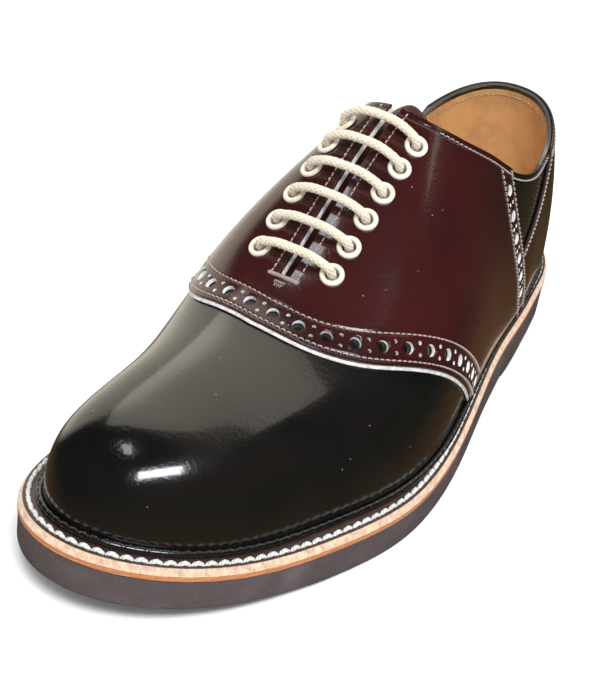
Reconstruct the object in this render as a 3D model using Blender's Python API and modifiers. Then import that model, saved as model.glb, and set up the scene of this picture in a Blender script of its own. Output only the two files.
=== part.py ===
"""Saddle shoe for the left foot: a hollow upper with a saddle and a heel counter laid over it,
a tongue, an insole, a welt, a rubber sole and heel, twelve eyelets and one lace.

Millimetres inside, metres in the meshes. Toe towards -Y, outer side of the foot towards +X, +Z up.
Every curved piece comes from one last, a closed form given by sections along the foot.
"""
import math
from collections import namedtuple

import bmesh
import bpy
import numpy as np

MM = 0.001

# Main sizes of the last
LAST_LENGTH = 283.0
BALL_WIDTH = 100.0
INSTEP_HEIGHT = 87.0
HEEL_HEIGHT = 30.0

# Wall of each layer and the air between neighbours
GAP = 0.3
UPPER_WALL = 1.8
SADDLE_WALL = 1.4
COUNTER_WALL = 1.0
COUNTER_CLEAR = 0.5
TONGUE_WALL = 2.4
INSOLE_THICK = 3.0
INSOLE_INSET = 1.4
WELT_THICK = 4.1
WELT_WIDTH = 8.0
WELT_BEVEL = 1.3
WELT_BEVEL_DROP = 2.0

# Rubber under the welt
SOLE_INSET = 0.3
SOLE_EDGE = 1.4
HEEL_BLOCK = 8.6
HEEL_SHARE = 0.26
HEEL_SLANT = 7.0
HEEL_TAPER = 1.2

# Throat, as shares of the last's length from the back, and its lacing
SLIT_TOP = 0.4375
SLIT_END = 0.6525
SLIT_HALF = 1.7
EYELET_PAIRS = 6
EYELET_FIRST = 0.465
EYELET_LAST = 0.630
EYELET_OUT = 13.4
EYELET_HOLE = 4.6
EYELET_BARREL = 5.1
EYELET_FLANGE = 8.2
EYELET_CROWN = 1.0
EYELET_SIDES = 8
LACE_THICK = 3.3
LACE_RISE = 5.0
LACE_STEP = 4.2
TONGUE_TOP = 0.410
TONGUE_END = 0.70
TONGUE_HALF = 19.0

# Roundings of the last's two ends
HEEL_ROUND = 0.13
HEEL_POWER = 2.2
TOE_ROUND = 0.64
TOE_POWER = 2.0
TOE_DROP = 0.80
TOE_DROP_POWER = 2.35
BACK_LEAN = 10.0
BACK_LEAN_FROM = 22.0
BACK_LEAN_OVER = 45.0
BACK_LEAN_SHARE = 0.30

# Sections from the back of the heel to the toe. Widths are shares of half the ball width, the
# ridge is a share of the instep height, the feather of the heel height, the welt of its width.
Section = namedtuple("Section", "share centre half feather ridge slim boxy shift welt")
SECTIONS = (
    Section(0.00, -0.03, 0.60, 1.000, 1.328, 0.08, -0.12, -0.03, 0.62),
    Section(0.10, -0.02, 0.65, 0.917, 1.316, 0.10, -0.18, -0.06, 0.56),
    Section(0.22, 0.06, 0.69, 0.867, 1.276, 0.12, -0.08, -0.06, 0.50),
    Section(0.34, 0.12, 0.72, 0.833, 1.172, 0.20, -0.04, -0.11, 0.50),
    Section(0.46, 0.10, 0.87, 0.733, 1.000, 0.18, 0.12, -0.15, 0.56),
    Section(0.58, 0.08, 1.00, 0.583, 0.776, 0.09, 0.22, -0.14, 0.62),
    Section(0.68, 0.08, 0.97, 0.533, 0.580, 0.05, 0.20, -0.13, 0.88),
    Section(0.78, 0.05, 0.90, 0.550, 0.489, 0.06, 0.18, -0.09, 1.00),
    Section(0.88, -0.03, 0.92, 0.600, 0.437, 0.00, 0.25, -0.05, 0.94),
    Section(1.00, -0.14, 1.02, 0.817, 0.437, -0.09, 0.32, 0.00, 0.88),
)

# Top edge from the back seam to the corner of the throat: share of the length, turn in degrees
EdgePoint = namedtuple("EdgePoint", "share turn")
TOP_EDGE = (
    EdgePoint(0.000, 35.5),
    EdgePoint(0.060, 34.0),
    EdgePoint(0.120, 32.2),
    EdgePoint(0.200, 31.4),
    EdgePoint(0.260, 34.4),
    EdgePoint(0.305, 39.4),
    EdgePoint(0.350, 47.0),
    EdgePoint(0.397, 57.0),
    EdgePoint(0.425, 68.8),
    EdgePoint(0.4345, 77.0),
    EdgePoint(SLIT_TOP, 84.0),
)

# Underside of the rubber: height over the floor as a share of the heel block
SolePoint = namedtuple("SolePoint", "share height")
SOLE_UNDER = (
    SolePoint(0.00, 1.00),
    SolePoint(0.285, 1.00),
    SolePoint(0.300, 0.62),
    SolePoint(0.330, 0.34),
    SolePoint(0.380, 0.16),
    SolePoint(0.440, 0.04),
    SolePoint(0.500, 0.00),
    SolePoint(0.720, 0.00),
    SolePoint(0.800, 0.09),
    SolePoint(0.900, 0.42),
    SolePoint(1.000, 0.95),
)

# Seams as shares of the length, read up the wall from the feather to the top. The counter's seam
# meets the saddle's rear seam at COUNTER_MEETS; below that its line only carries the mesh.
Seam = namedtuple("Seam", "climb counter rear front_outer front_inner")
SEAMS = (
    Seam(0.0000, 0.165, 0.213, 0.474, 0.500),
    Seam(0.2500, 0.204, 0.245, 0.587, 0.606),
    Seam(0.4167, 0.258, 0.267, 0.651, 0.660),
    Seam(0.5000, 0.236, 0.277, 0.678, 0.682),
    Seam(0.7500, 0.163, 0.298, 0.7205, 0.714),
    Seam(1.0000, 0.108, 0.305, 0.726, 0.726),
)

# Mesh lines
ROWS = 12
COUNTER_MEETS = 5
COUNTER_LINES = 6
QUARTER_LINES = 3
CORNER_LINES = (0.30, 0.55, 0.75, 0.89, 1.0)
SLIT_LINES = (0.14, 0.28, 0.43, 0.58, 0.73, 0.86, 0.985, 1.0)
FRONT_LINES = (0.35, 0.68, 1.0)
VAMP_LINES = 2
TOE_LINES = 7
TOE_FIRST = 0.74
TOE_CROWN = (0.785, 0.885)
PLAN_HEEL = 7
PLAN_MIDDLE = 16
PLAN_TOE = 10

Colour = namedtuple("Colour", "name rgb rough")
COLOURS = {
    "upper": Colour("black_leather", (0.012, 0.011, 0.010), 0.18),
    "saddle": Colour("oxblood_leather", (0.060, 0.012, 0.012), 0.20),
    "counter": Colour("black_leather_counter", (0.012, 0.011, 0.010), 0.18),
    "tongue": Colour("brown_leather", (0.090, 0.040, 0.028), 0.45),
    "insole": Colour("tan_leather", (0.480, 0.270, 0.130), 0.60),
    "welt": Colour("brown_welt", (0.070, 0.042, 0.038), 0.60),
    "outsole": Colour("brown_rubber", (0.110, 0.078, 0.078), 0.75),
    "heel": Colour("brown_heel_rubber", (0.105, 0.074, 0.074), 0.75),
    "eyelet": Colour("ivory_enamel", (0.800, 0.740, 0.640), 0.35),
    "lace": Colour("natural_cord", (0.720, 0.640, 0.520), 0.80),
}


def spline(shares, values):
    """Natural cubic through the given points."""
    x = np.array(shares, float)
    y = np.array(values, float)
    n = len(x)
    step = np.diff(x)
    left = np.zeros((n, n))
    right = np.zeros(n)
    left[0, 0] = left[-1, -1] = 1.0
    for i in range(1, n - 1):
        left[i, i - 1] = step[i - 1]
        left[i, i] = 2 * (step[i - 1] + step[i])
        left[i, i + 1] = step[i]
        right[i] = 6 * ((y[i + 1] - y[i]) / step[i] - (y[i] - y[i - 1]) / step[i - 1])
    bend = np.linalg.solve(left, right)

    def value(at):
        at = np.asarray(at, float)
        i = np.clip(np.searchsorted(x, at, side="right") - 1, 0, n - 2)
        t = at - x[i]
        slope = (y[i + 1] - y[i]) / step[i] - step[i] * (2 * bend[i] + bend[i + 1]) / 6
        return y[i] + t * slope + t**2 * bend[i] / 2 + t**3 * (bend[i + 1] - bend[i]) / (6 * step[i])

    return value


def section_curve(column, scale=1.0):
    return spline([row.share for row in SECTIONS], [scale * getattr(row, column) for row in SECTIONS])


centre = section_curve("centre", BALL_WIDTH / 2)
half = section_curve("half", BALL_WIDTH / 2)
feather = section_curve("feather", HEEL_HEIGHT)
ridge = section_curve("ridge", INSTEP_HEIGHT)
slim = section_curve("slim")
boxy = section_curve("boxy")
shift = section_curve("shift", BALL_WIDTH / 2)
welt = section_curve("welt", WELT_WIDTH)


def roundings(s):
    """How far the width and the height have closed at share s."""
    toe = np.clip((s - TOE_ROUND) / (1 - TOE_ROUND), 0, 1)
    heel = np.clip((HEEL_ROUND - s) / HEEL_ROUND, 0, 1)
    drop = np.clip((s - TOE_DROP) / (1 - TOE_DROP), 0, 1)
    wide = (1 - toe**TOE_POWER) ** (1 / TOE_POWER) * (1 - heel**HEEL_POWER) ** (1 / HEEL_POWER)
    high = (1 - drop**TOE_DROP_POWER) ** (1 / TOE_DROP_POWER)
    return wide, high


def last_point(s, turn):
    """Point of the last: turn is 0 at the outer feather, a quarter turn on the ridge."""
    s = np.asarray(s, float)
    turn = np.asarray(turn, float)
    wide, high = roundings(s)
    side, rise = np.cos(turn), np.sin(turn)
    x = centre(s) + half(s) * wide * side * (1 - slim(s) * rise**2) + shift(s) * wide * rise**2
    up = ridge(s) * high * rise * (1 + boxy(s) * side**2)
    lean = np.clip((up - BACK_LEAN_FROM) / BACK_LEAN_OVER, 0, None) ** 2
    near = np.clip(1 - s / BACK_LEAN_SHARE, 0, 1) ** 2
    y = (0.5 - s) * LAST_LENGTH - BACK_LEAN * lean * near
    return np.stack(np.broadcast_arrays(x, y, feather(s) + up), -1)


def last_skin(s, turn, out):
    """Point of the last moved out along its normal."""
    e = 1e-3
    along = last_point(s + e, turn) - last_point(s - e, turn)
    across = last_point(s, turn + e) - last_point(s, turn - e)
    normal = np.cross(across, along)
    normal /= np.linalg.norm(normal, axis=-1, keepdims=True)
    return last_point(s, turn) + normal * out


def slit_turn(s):
    """Turn of the slit's edge."""
    return math.pi / 2 - SLIT_HALF / float(half(s) * (1 - slim(s)))


def edge_curve():
    """Top edge as (share, turn) over its own length, 0 at the back seam and 1 at the corner."""
    rows = [(row.share, math.radians(row.turn)) for row in TOP_EDGE] + [(SLIT_TOP, slit_turn(SLIT_TOP))]
    places = last_point(np.array([r[0] for r in rows]), np.array([r[1] for r in rows]))
    run = np.concatenate([[0.0], np.cumsum(np.linalg.norm(np.diff(places, axis=0), axis=1))])
    run /= run[-1]
    return spline(run, [r[0] for r in rows]), spline(run, [r[1] for r in rows])


edge_share, edge_turn = edge_curve()


def edge_part(share):
    """Part of the top edge at which it passes the given share."""
    parts = np.linspace(0, 0.9, 400)
    return float(np.interp(share, edge_share(parts), parts))


def seam_line(column, climbs):
    rows = [row.climb for row in SEAMS]
    values = [getattr(row, column) for row in SEAMS]
    return np.interp(climbs, rows, values) if column == "counter" else spline(rows, values)(climbs)


def saddle_tops(rear_part):
    """Top ends of the saddle's mesh lines: along the top edge, down the slit and to the front seam."""
    tops = []
    for part in CORNER_LINES:
        at = rear_part + (1 - rear_part) * part
        tops.append((float(edge_share(at)), float(edge_turn(at))))
    for part in SLIT_LINES:
        s = SLIT_TOP + (SLIT_END - SLIT_TOP) * part
        tops.append((s, math.pi / 2 if part == 1 else slit_turn(s)))
    for part in FRONT_LINES:
        tops.append((SLIT_END + (SEAMS[-1].front_outer - SLIT_END) * part, math.pi / 2))
    return tops


def upper_ribs(side):
    """Ribs of one side from the back to the toe: (shares, turns) from the feather to the top."""
    climbs = np.linspace(0, 1, ROWS + 1)
    counter = seam_line("counter", climbs)
    rear = seam_line("rear", climbs)
    front = seam_line("front_outer" if side > 0 else "front_inner", climbs)
    ribs = []
    lines = [counter * (i / COUNTER_LINES) ** 2 for i in range(COUNTER_LINES + 1)]
    lines += [counter + (rear - counter) * i / QUARTER_LINES for i in range(1, QUARTER_LINES + 1)]
    meet = COUNTER_MEETS / ROWS
    seam_turn = meet * float(edge_turn(edge_part(rear[-1])))
    for i, line in enumerate(lines):
        top = float(edge_turn(edge_part(line[-1])))
        low = meet * top + (seam_turn - meet * top) * min(1.0, i / COUNTER_LINES)
        ribs.append((line, np.interp(climbs, (0, meet, 1), (0, low, top))))
    tops = saddle_tops(edge_part(rear[-1]))
    rear_bow = rear - (rear[0] + (rear[-1] - rear[0]) * climbs)
    front_bow = front - (front[0] + (front[-1] - front[0]) * climbs)
    for i, (top, turn) in enumerate(tops, 1):
        part = i / len(tops)
        foot = rear[0] + (front[0] - rear[0]) * part
        line = foot + (top - foot) * climbs + rear_bow * (1 - part) + front_bow * part
        ribs.append((line, climbs * turn))
    toes = [toe_rib(i / TOE_LINES, climbs) for i in range(TOE_LINES + 1)]
    last_s, last_t = ribs[-1]
    for i in range(1, VAMP_LINES):
        v = i / VAMP_LINES
        ribs.append((last_s + (toes[0][0] - last_s) * v, last_t + (toes[0][1] - last_t) * v))
    return ribs + toes


def toe_rib(part, climbs):
    """Rib of the fan round the toe, from its outline up to the middle line."""
    first = math.asin((TOE_FIRST - TOE_ROUND) / (1 - TOE_ROUND))
    start = TOE_ROUND + (1 - TOE_ROUND) * math.sin(first + (math.pi / 2 - first) * part)
    crown = TOE_CROWN[0] + (TOE_CROWN[1] - TOE_CROWN[0]) * part
    aim = math.acos(min(1.0, (start - crown) / (1 - crown)))
    lift = climbs * math.pi / 2
    s = crown + (1 - crown) * np.cos(lift) * math.cos(aim)
    turn = np.arctan2(np.sin(lift), np.cos(lift) * max(math.sin(aim), 1e-9))
    return s, turn


def plan_shares():
    """Shares of the outline, close together round the heel and the toe."""
    angle = np.linspace(0, math.pi / 2, PLAN_HEEL + 1)
    heel = HEEL_ROUND * (1 - np.cos(angle) ** (2 / HEEL_POWER))
    waist = np.linspace(HEEL_ROUND, TOE_ROUND, PLAN_MIDDLE + 1)[1:]
    angle = np.linspace(0, math.pi / 2, PLAN_TOE + 1)[1:]
    toe = TOE_ROUND + (1 - TOE_ROUND) * np.sin(angle) ** (2 / TOE_POWER)
    return np.concatenate([heel, waist, toe])


def outline(s, side):
    return np.array([centre(s) + side * half(s) * roundings(s)[0], (0.5 - s) * LAST_LENGTH])


def rim(s, side, out):
    """Outline of the feather moved out by the given width, seen from above."""
    if s < 1e-6 or s > 1 - 1e-6:
        normal = np.array([0.0, 1.0 if s < 0.5 else -1.0])
    else:
        e = min(1e-4, s / 2, (1 - s) / 2)
        along = outline(s + e, side) - outline(s - e, side)
        normal = np.array([-along[1], along[0]]) * side
        normal /= np.linalg.norm(normal)
    return outline(s, side) + normal * out


def sole_under(s):
    height = np.interp(s, [row.share for row in SOLE_UNDER], [row.height for row in SOLE_UNDER])
    return height * HEEL_BLOCK


def box_centre():
    points = np.array([rim(s, side, welt(s)) for s in plan_shares() for side in (1, -1)])
    return (points.min(axis=0) + points.max(axis=0)) / 2


MIDDLE = np.append(box_centre(), 0.0)


def material(key):
    colour = COLOURS[key]
    found = bpy.data.materials.get(colour.name)
    if found:
        return found
    made = bpy.data.materials.new(colour.name)
    made.use_nodes = True
    shader = made.node_tree.nodes["Principled BSDF"]
    shader.inputs["Base Color"].default_value = (*colour.rgb, 1.0)
    shader.inputs["Roughness"].default_value = colour.rough
    made.diffuse_color = (*colour.rgb, 1.0)
    return made


def new_object(name, points, faces, key, collection):
    """Object from millimetre points, with doubled points joined and faces turned one way."""
    mesh = bpy.data.meshes.new(name)
    mesh.from_pydata([tuple((np.asarray(p) - MIDDLE) * MM) for p in points], [], faces)
    work = bmesh.new()
    work.from_mesh(mesh)
    bmesh.ops.remove_doubles(work, verts=work.verts, dist=1e-6)
    bmesh.ops.dissolve_degenerate(work, edges=work.edges, dist=1e-6)
    bmesh.ops.recalc_face_normals(work, faces=work.faces)
    work.to_mesh(mesh)
    work.free()
    obj = bpy.data.objects.new(name, mesh)
    collection.objects.link(obj)
    if key:
        mesh.materials.append(material(key))
    return obj


def loft(rings):
    """Closed body through rings of equal count, capped by its first and last ring."""
    count = len(rings[0])
    points = [p for ring in rings for p in ring]
    faces = []
    for i in range(len(rings) - 1):
        for j in range(count):
            k = (j + 1) % count
            faces.append((i * count + j, i * count + k, (i + 1) * count + k, (i + 1) * count + j))
    faces.append(tuple(range(count)))
    faces.append(tuple((len(rings) - 1) * count + j for j in range(count)))
    return points, faces


def shell_points():
    """Outer face of the upper: points, normals and triangles, each with its rib and its row.

    Every layer takes its triangles from here, so neighbours keep their distance everywhere.
    """
    points = []
    quads = []
    step = ROWS + 1
    for side in (1, -1):
        base = len(points)
        ribs = upper_ribs(side)
        for share, turn in ribs:
            points.extend(last_point(share, turn if side > 0 else math.pi - turn))
        for i in range(len(ribs) - 1):
            for j in range(ROWS):
                a = base + i * step + j
                quad = (a, a + step, a + step + 1, a + 1)
                quads.append((quad[::-1] if side > 0 else quad, i, j))
    points = np.array(points)
    faces = []
    for (a, b, c, d), rib, row in quads:
        short = np.linalg.norm(points[a] - points[c]) <= np.linalg.norm(points[b] - points[d])
        for face in ((a, b, c), (a, c, d)) if short else ((a, b, d), (b, c, d)):
            faces.append((face, rib, row))
    normals = np.zeros_like(points)
    for face, _, _ in faces:
        p, q, r = points[list(face)]
        normals[list(face)] += np.cross(q - p, r - p)
    keys = {}
    for i, p in enumerate(points):
        keys.setdefault(tuple(np.round(p, 4)), []).append(i)
    for same in keys.values():
        normals[same] = normals[same].sum(axis=0)
    normals /= np.linalg.norm(normals, axis=1, keepdims=True)
    return points, normals, faces


def thicken(obj, wall, outward):
    solid = obj.modifiers.new("wall", "SOLIDIFY")
    solid.thickness = wall * MM
    solid.offset = 1.0 if outward else -1.0
    solid.use_rim = True
    solid.use_even_offset = False


def face_outward(obj):
    """Turn an open skin so its faces look away from the middle of the foot."""
    mesh = obj.data
    total = 0.0
    for face in mesh.polygons:
        away = face.center.copy()
        away.y = 0.0
        away.z -= 0.03
        total += face.normal.dot(away) * face.area
    if total < 0:
        mesh.flip_normals()


def layer(name, chosen, out, wall, outward, skin, collection):
    """The chosen faces of the skin, moved out and given their wall."""
    points, normals, _ = skin
    moved = points + normals * out
    used = sorted({v for face in chosen for v in face})
    place = {v: i for i, v in enumerate(used)}
    faces = [tuple(place[v] for v in face) for face in chosen]
    obj = new_object(name, moved[used], faces, name, collection)
    face_outward(obj)
    thicken(obj, wall, outward)
    return obj


def counter_faces(skin, rear_rib):
    """Faces behind the counter's seam, and skin points with the lower front edge drawn back."""
    points, normals, faces = skin
    chosen = []
    for face, rib, row in faces:
        if rib < COUNTER_LINES or (rib < rear_rib and row < COUNTER_MEETS):
            chosen.append(face)
    drawn = points.copy()
    step = ROWS + 1
    side_points = len(points) // 2
    for base in (0, side_points):
        for row in range(COUNTER_MEETS + 1):
            v = base + rear_rib * step + row
            back = points[v - step] - points[v]
            drawn[v] += back / np.linalg.norm(back) * COUNTER_CLEAR
    return chosen, (drawn, normals, faces)


def plate(name, key, profile, shares, collection):
    """Body across the foot whose edge follows the outline; profile gives (out, height) at a share."""
    rings = []
    for s in shares:
        ring = []
        for out, height in profile(s):
            ring.append([*rim(s, 1, out), height])
        for out, height in reversed(profile(s)):
            ring.append([*rim(s, -1, out), height])
        rings.append(ring)
    points, faces = loft(rings)
    return new_object(name, points, faces, key, collection)


def welt_profile(s):
    top = float(feather(s)) - GAP
    wide = float(welt(s))
    return [(wide - WELT_BEVEL, top), (wide, top - WELT_BEVEL_DROP), (wide, top - WELT_THICK)]


def outsole_profile(s):
    top = float(feather(s)) - GAP - WELT_THICK - GAP
    wide = float(welt(s)) - SOLE_INSET
    low = float(sole_under(s))
    return [(wide, top), (wide, low + SOLE_EDGE), (wide - SOLE_EDGE, low)]


def heel_profile(s):
    top = HEEL_BLOCK - GAP
    wide = float(welt(s)) - SOLE_INSET
    return [(wide, top), (wide - HEEL_TAPER, SOLE_EDGE), (wide - HEEL_TAPER - SOLE_EDGE, 0.0)]


def insole_profile(s):
    low = float(feather(s)) + GAP
    inside = -(UPPER_WALL + INSOLE_INSET)
    return [(inside, low + INSOLE_THICK), (inside, low)]


def add_heel(collection):
    shares = [s for s in plan_shares() if s < HEEL_SHARE - 0.01] + [HEEL_SHARE]
    obj = plate("heel", "heel", heel_profile, shares, collection)
    breast = ((0.5 - HEEL_SHARE) * LAST_LENGTH - MIDDLE[1]) * MM
    top = (HEEL_BLOCK - GAP) * MM
    for v in obj.data.vertices:
        if v.co.y < breast + 2 * MM:
            v.co.y -= HEEL_SLANT * MM * v.co.z / top
    return obj


def throat_place(side, s, away, out):
    """Point beside the throat: away is measured along the skin from the middle line."""
    turns = math.pi / 2 - side * np.linspace(0, 1.3, 120)
    line = last_point(s, turns)
    run = np.concatenate([[0.0], np.cumsum(np.linalg.norm(np.diff(line, axis=0), axis=1))])
    turn = float(np.interp(away, run, turns))
    return last_skin(s, turn, out)


def eyelet_shares():
    return np.linspace(EYELET_FIRST, EYELET_LAST, EYELET_PAIRS)


def eyelet_frame(side, s):
    """Matrix rows of an eyelet: across, along, out, and its place on the saddle's outer face."""
    skin = GAP + SADDLE_WALL
    place = throat_place(side, s, EYELET_OUT, skin)
    out = throat_place(side, s, EYELET_OUT, skin + 1) - place
    out /= np.linalg.norm(out)
    along = throat_place(side, s + 0.002, EYELET_OUT, skin) - place
    along -= out * along.dot(out)
    along /= np.linalg.norm(along)
    return np.cross(along, out), along, out, place


def tongue_rings():
    under = -(UPPER_WALL + 3 * GAP + LACE_THICK)
    near = -(UPPER_WALL + GAP)
    rings = []
    for s in np.linspace(TONGUE_TOP, TONGUE_END, 14):
        top = float(np.interp(s, [EYELET_LAST + 0.016, TONGUE_END - 0.008], [under, near]))
        wide = TONGUE_HALF * min(1.0, math.sqrt(max(0.35, (s - TONGUE_TOP + 0.008) / 0.03)))
        steps = np.linspace(-1, 1, 9)
        upper_row = [throat_place(1 if t >= 0 else -1, s, abs(t) * wide, top) for t in steps]
        lower_row = [throat_place(1 if t >= 0 else -1, s, abs(t) * wide, top - TONGUE_WALL) for t in steps]
        rings.append(upper_row + lower_row[::-1])
    return rings


def lace_line():
    """Middle line of the lace: six bars across and the runs behind the facings."""
    shares = eyelet_shares()
    wall_in = -(UPPER_WALL + GAP + LACE_THICK / 2 + 0.15)
    flange = GAP + SADDLE_WALL + GAP + EYELET_CROWN
    line = []

    def add(side, s, away, out):
        line.append(throat_place(side, s, away, out))

    def bar(side, i):
        """Out of one eyelet, over the throat and into its partner."""
        s = shares[i]
        for hand, order in ((side, 1), (-side, -1)):
            steps = [
                (EYELET_OUT, -1.2),
                (EYELET_OUT - 0.4, flange + 0.5),
                (EYELET_OUT - 1.6, flange + LACE_THICK * 0.62),
                (EYELET_OUT - 4.0, flange + LACE_THICK * 0.88),
                (EYELET_OUT - 8.0, flange + LACE_THICK + 0.5),
            ]
            for away, out in steps[::order]:
                add(hand, s, away, out)
            if order > 0:
                add(hand, s, 0.0, GAP + SADDLE_WALL + LACE_RISE)

    def inside(side, i, j, step):
        """Behind the facing from eyelet i to eyelet j, passing the one between at a distance."""
        a, b = shares[i], shares[j]
        turn = 2.4 / LAST_LENGTH * (1 if b > a else -1)
        add(side, a + turn * 0.25, EYELET_OUT, wall_in + 0.9)
        add(side, a + turn, EYELET_OUT, wall_in)
        if step:
            middle = (a + b) / 2
            quarter = (b - a) / 4
            add(side, middle - quarter, EYELET_OUT + step * 0.75, wall_in)
            add(side, middle, EYELET_OUT + step, wall_in)
            add(side, middle + quarter, EYELET_OUT + step * 0.75, wall_in)
        add(side, b - turn, EYELET_OUT, wall_in)
        add(side, b - turn * 0.25, EYELET_OUT, wall_in + 0.9)

    first = shares[0]
    add(-1, first + 5.0 / LAST_LENGTH, EYELET_OUT, wall_in)
    add(-1, first + 2.4 / LAST_LENGTH, EYELET_OUT, wall_in)
    add(-1, first + 0.6 / LAST_LENGTH, EYELET_OUT, wall_in + 0.9)
    bar(-1, 0)
    inside(1, 0, 2, LACE_STEP)
    bar(1, 2)
    inside(-1, 2, 4, LACE_STEP)
    bar(-1, 4)
    inside(1, 4, 5, 0)
    bar(1, 5)
    inside(-1, 5, 3, -LACE_STEP)
    bar(-1, 3)
    inside(1, 3, 1, -LACE_STEP)
    bar(1, 1)
    second = shares[1]
    add(-1, second - 0.6 / LAST_LENGTH, EYELET_OUT, wall_in + 0.9)
    add(-1, second - 2.4 / LAST_LENGTH, EYELET_OUT, wall_in)
    add(-1, second - 4.6 / LAST_LENGTH, EYELET_OUT, wall_in)
    return np.array(line)


def add_lace(collection):
    data = bpy.data.curves.new("lace_line", "CURVE")
    data.dimensions = "3D"
    data.bevel_depth = LACE_THICK / 2 * MM
    data.bevel_resolution = 2
    data.use_fill_caps = True
    points = (lace_line() - MIDDLE) * MM
    track = data.splines.new("POLY")
    track.points.add(len(points) - 1)
    for target, p in zip(track.points, points):
        target.co = (*p, 1.0)
    curve = bpy.data.objects.new("lace_line", data)
    collection.objects.link(curve)
    graph = bpy.context.evaluated_depsgraph_get()
    mesh = bpy.data.meshes.new_from_object(curve.evaluated_get(graph))
    bpy.data.objects.remove(curve)
    work = bmesh.new()
    work.from_mesh(mesh)
    bmesh.ops.remove_doubles(work, verts=work.verts, dist=1e-6)
    bmesh.ops.recalc_face_normals(work, faces=work.faces)
    work.to_mesh(mesh)
    work.free()
    obj = bpy.data.objects.new("lace", mesh)
    mesh.materials.clear()
    mesh.materials.append(material("lace"))
    collection.objects.link(obj)
    return obj


def eyelet_profile():
    """Half section of an eyelet: a domed flange over the saddle and a barrel through both layers."""
    bore, barrel, flange = EYELET_HOLE / 2, EYELET_BARREL / 2, EYELET_FLANGE / 2
    deep = -(SADDLE_WALL + GAP + UPPER_WALL)
    dome = GAP + EYELET_CROWN
    return [
        (bore, deep),
        (bore, GAP + 0.55 * EYELET_CROWN),
        (bore + 0.35 * (flange - bore), dome),
        (flange - 0.25 * (flange - bore), GAP + 0.85 * EYELET_CROWN),
        (flange, GAP),
        (barrel, GAP),
        (barrel, deep),
    ]


def add_eyelets(collection):
    """One turned eyelet, copied to each place."""
    profile = eyelet_profile()
    mesh = bpy.data.meshes.new("eyelet_profile")
    count = len(profile)
    edges = [(i, (i + 1) % count) for i in range(count)]
    mesh.from_pydata([(r * MM, 0.0, z * MM) for r, z in profile], edges, [])
    turned = bpy.data.objects.new("eyelet_profile", mesh)
    collection.objects.link(turned)
    screw = turned.modifiers.new("turn", "SCREW")
    screw.steps = EYELET_SIDES
    screw.render_steps = EYELET_SIDES
    screw.use_merge_vertices = True
    screw.merge_threshold = 0.00001
    graph = bpy.context.evaluated_depsgraph_get()
    ring = bpy.data.meshes.new_from_object(turned.evaluated_get(graph))
    bpy.data.objects.remove(turned)
    local = np.array([v.co[:] for v in ring.vertices]) / MM
    faces = [tuple(face.vertices) for face in ring.polygons]
    for side, word in ((1, "outer"), (-1, "inner")):
        for number, s in enumerate(eyelet_shares(), 1):
            across, along, out, place = eyelet_frame(side, s)
            points = place + local @ np.array([across, along, out])
            new_object(f"eyelet_{word}_{number}", points, faces, "eyelet", collection)


def add_cutter(collection):
    """Round posts through both leather layers at every eyelet."""
    points = []
    faces = []
    radius = (EYELET_BARREL / 2 + GAP) / math.cos(math.pi / EYELET_SIDES)
    for side in (1, -1):
        for s in eyelet_shares():
            across, along, out, place = eyelet_frame(side, s)
            base = len(points)
            for height in (-6.0, 3.0):
                for k in range(EYELET_SIDES):
                    angle = 2 * math.pi * k / EYELET_SIDES
                    ring = across * math.cos(angle) + along * math.sin(angle)
                    points.append(place + ring * radius + out * height)
            for k in range(EYELET_SIDES):
                n = (k + 1) % EYELET_SIDES
                faces.append((base + k, base + n, base + EYELET_SIDES + n, base + EYELET_SIDES + k))
            faces.append(tuple(base + k for k in range(EYELET_SIDES)))
            faces.append(tuple(base + EYELET_SIDES + k for k in range(EYELET_SIDES)))
    cutter = new_object("eyelet_posts", points, faces, None, collection)
    cutter.hide_render = True
    cutter.display_type = "WIRE"
    return cutter


def cut(obj, cutter):
    hole = obj.modifiers.new("eyelet_holes", "BOOLEAN")
    hole.operation = "DIFFERENCE"
    hole.solver = "EXACT"
    hole.object = cutter


def main():
    for obj in list(bpy.data.objects):
        bpy.data.objects.remove(obj)
    shoe = bpy.data.collections.new("saddle_shoe")
    cutters = bpy.data.collections.new("cutters")
    bpy.context.scene.collection.children.link(shoe)
    bpy.context.scene.collection.children.link(cutters)
    cutters.hide_render = True

    skin = shell_points()
    rear_rib = COUNTER_LINES + QUARTER_LINES
    front_rib = rear_rib + len(CORNER_LINES) + len(SLIT_LINES) + len(FRONT_LINES)
    everything = [face for face, _, _ in skin[2]]
    upper = layer("upper", everything, 0.0, UPPER_WALL, False, skin, shoe)
    under_saddle = [face for face, rib, _ in skin[2] if rear_rib <= rib < front_rib]
    saddle = layer("saddle", under_saddle, GAP, SADDLE_WALL, True, skin, shoe)
    behind, drawn = counter_faces(skin, rear_rib)
    layer("counter", behind, GAP, COUNTER_WALL, True, drawn, shoe)
    cutter = add_cutter(cutters)
    cut(upper, cutter)
    cut(saddle, cutter)
    new_object("tongue", *loft(tongue_rings()), "tongue", shoe)
    plate("insole", "insole", insole_profile, plan_shares(), shoe)
    plate("welt", "welt", welt_profile, plan_shares(), shoe)
    sole_shares = sorted({*plan_shares(), *(row.share for row in SOLE_UNDER[1:4])})
    plate("outsole", "outsole", outsole_profile, sole_shares, shoe)
    add_heel(shoe)
    add_eyelets(shoe)
    add_lace(shoe)


main()
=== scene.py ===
"""Looks of a saddle shoe for the left foot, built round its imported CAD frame.

Leather, lining, thread, punched holes, eyelets, lace, welt and rubber, with a plain floor,
soft lights and a camera. Lengths inside are millimetres of the last, and metres in the meshes.
The curves of the last repeat those of the CAD part, so each piece lies where its solid does.
"""
import math
from collections import namedtuple

import bmesh
import bpy
import numpy as np
from bpy.props import FloatProperty, FloatVectorProperty, IntProperty, PointerProperty
from mathutils import Matrix, Vector
from mathutils.kdtree import KDTree


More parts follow.
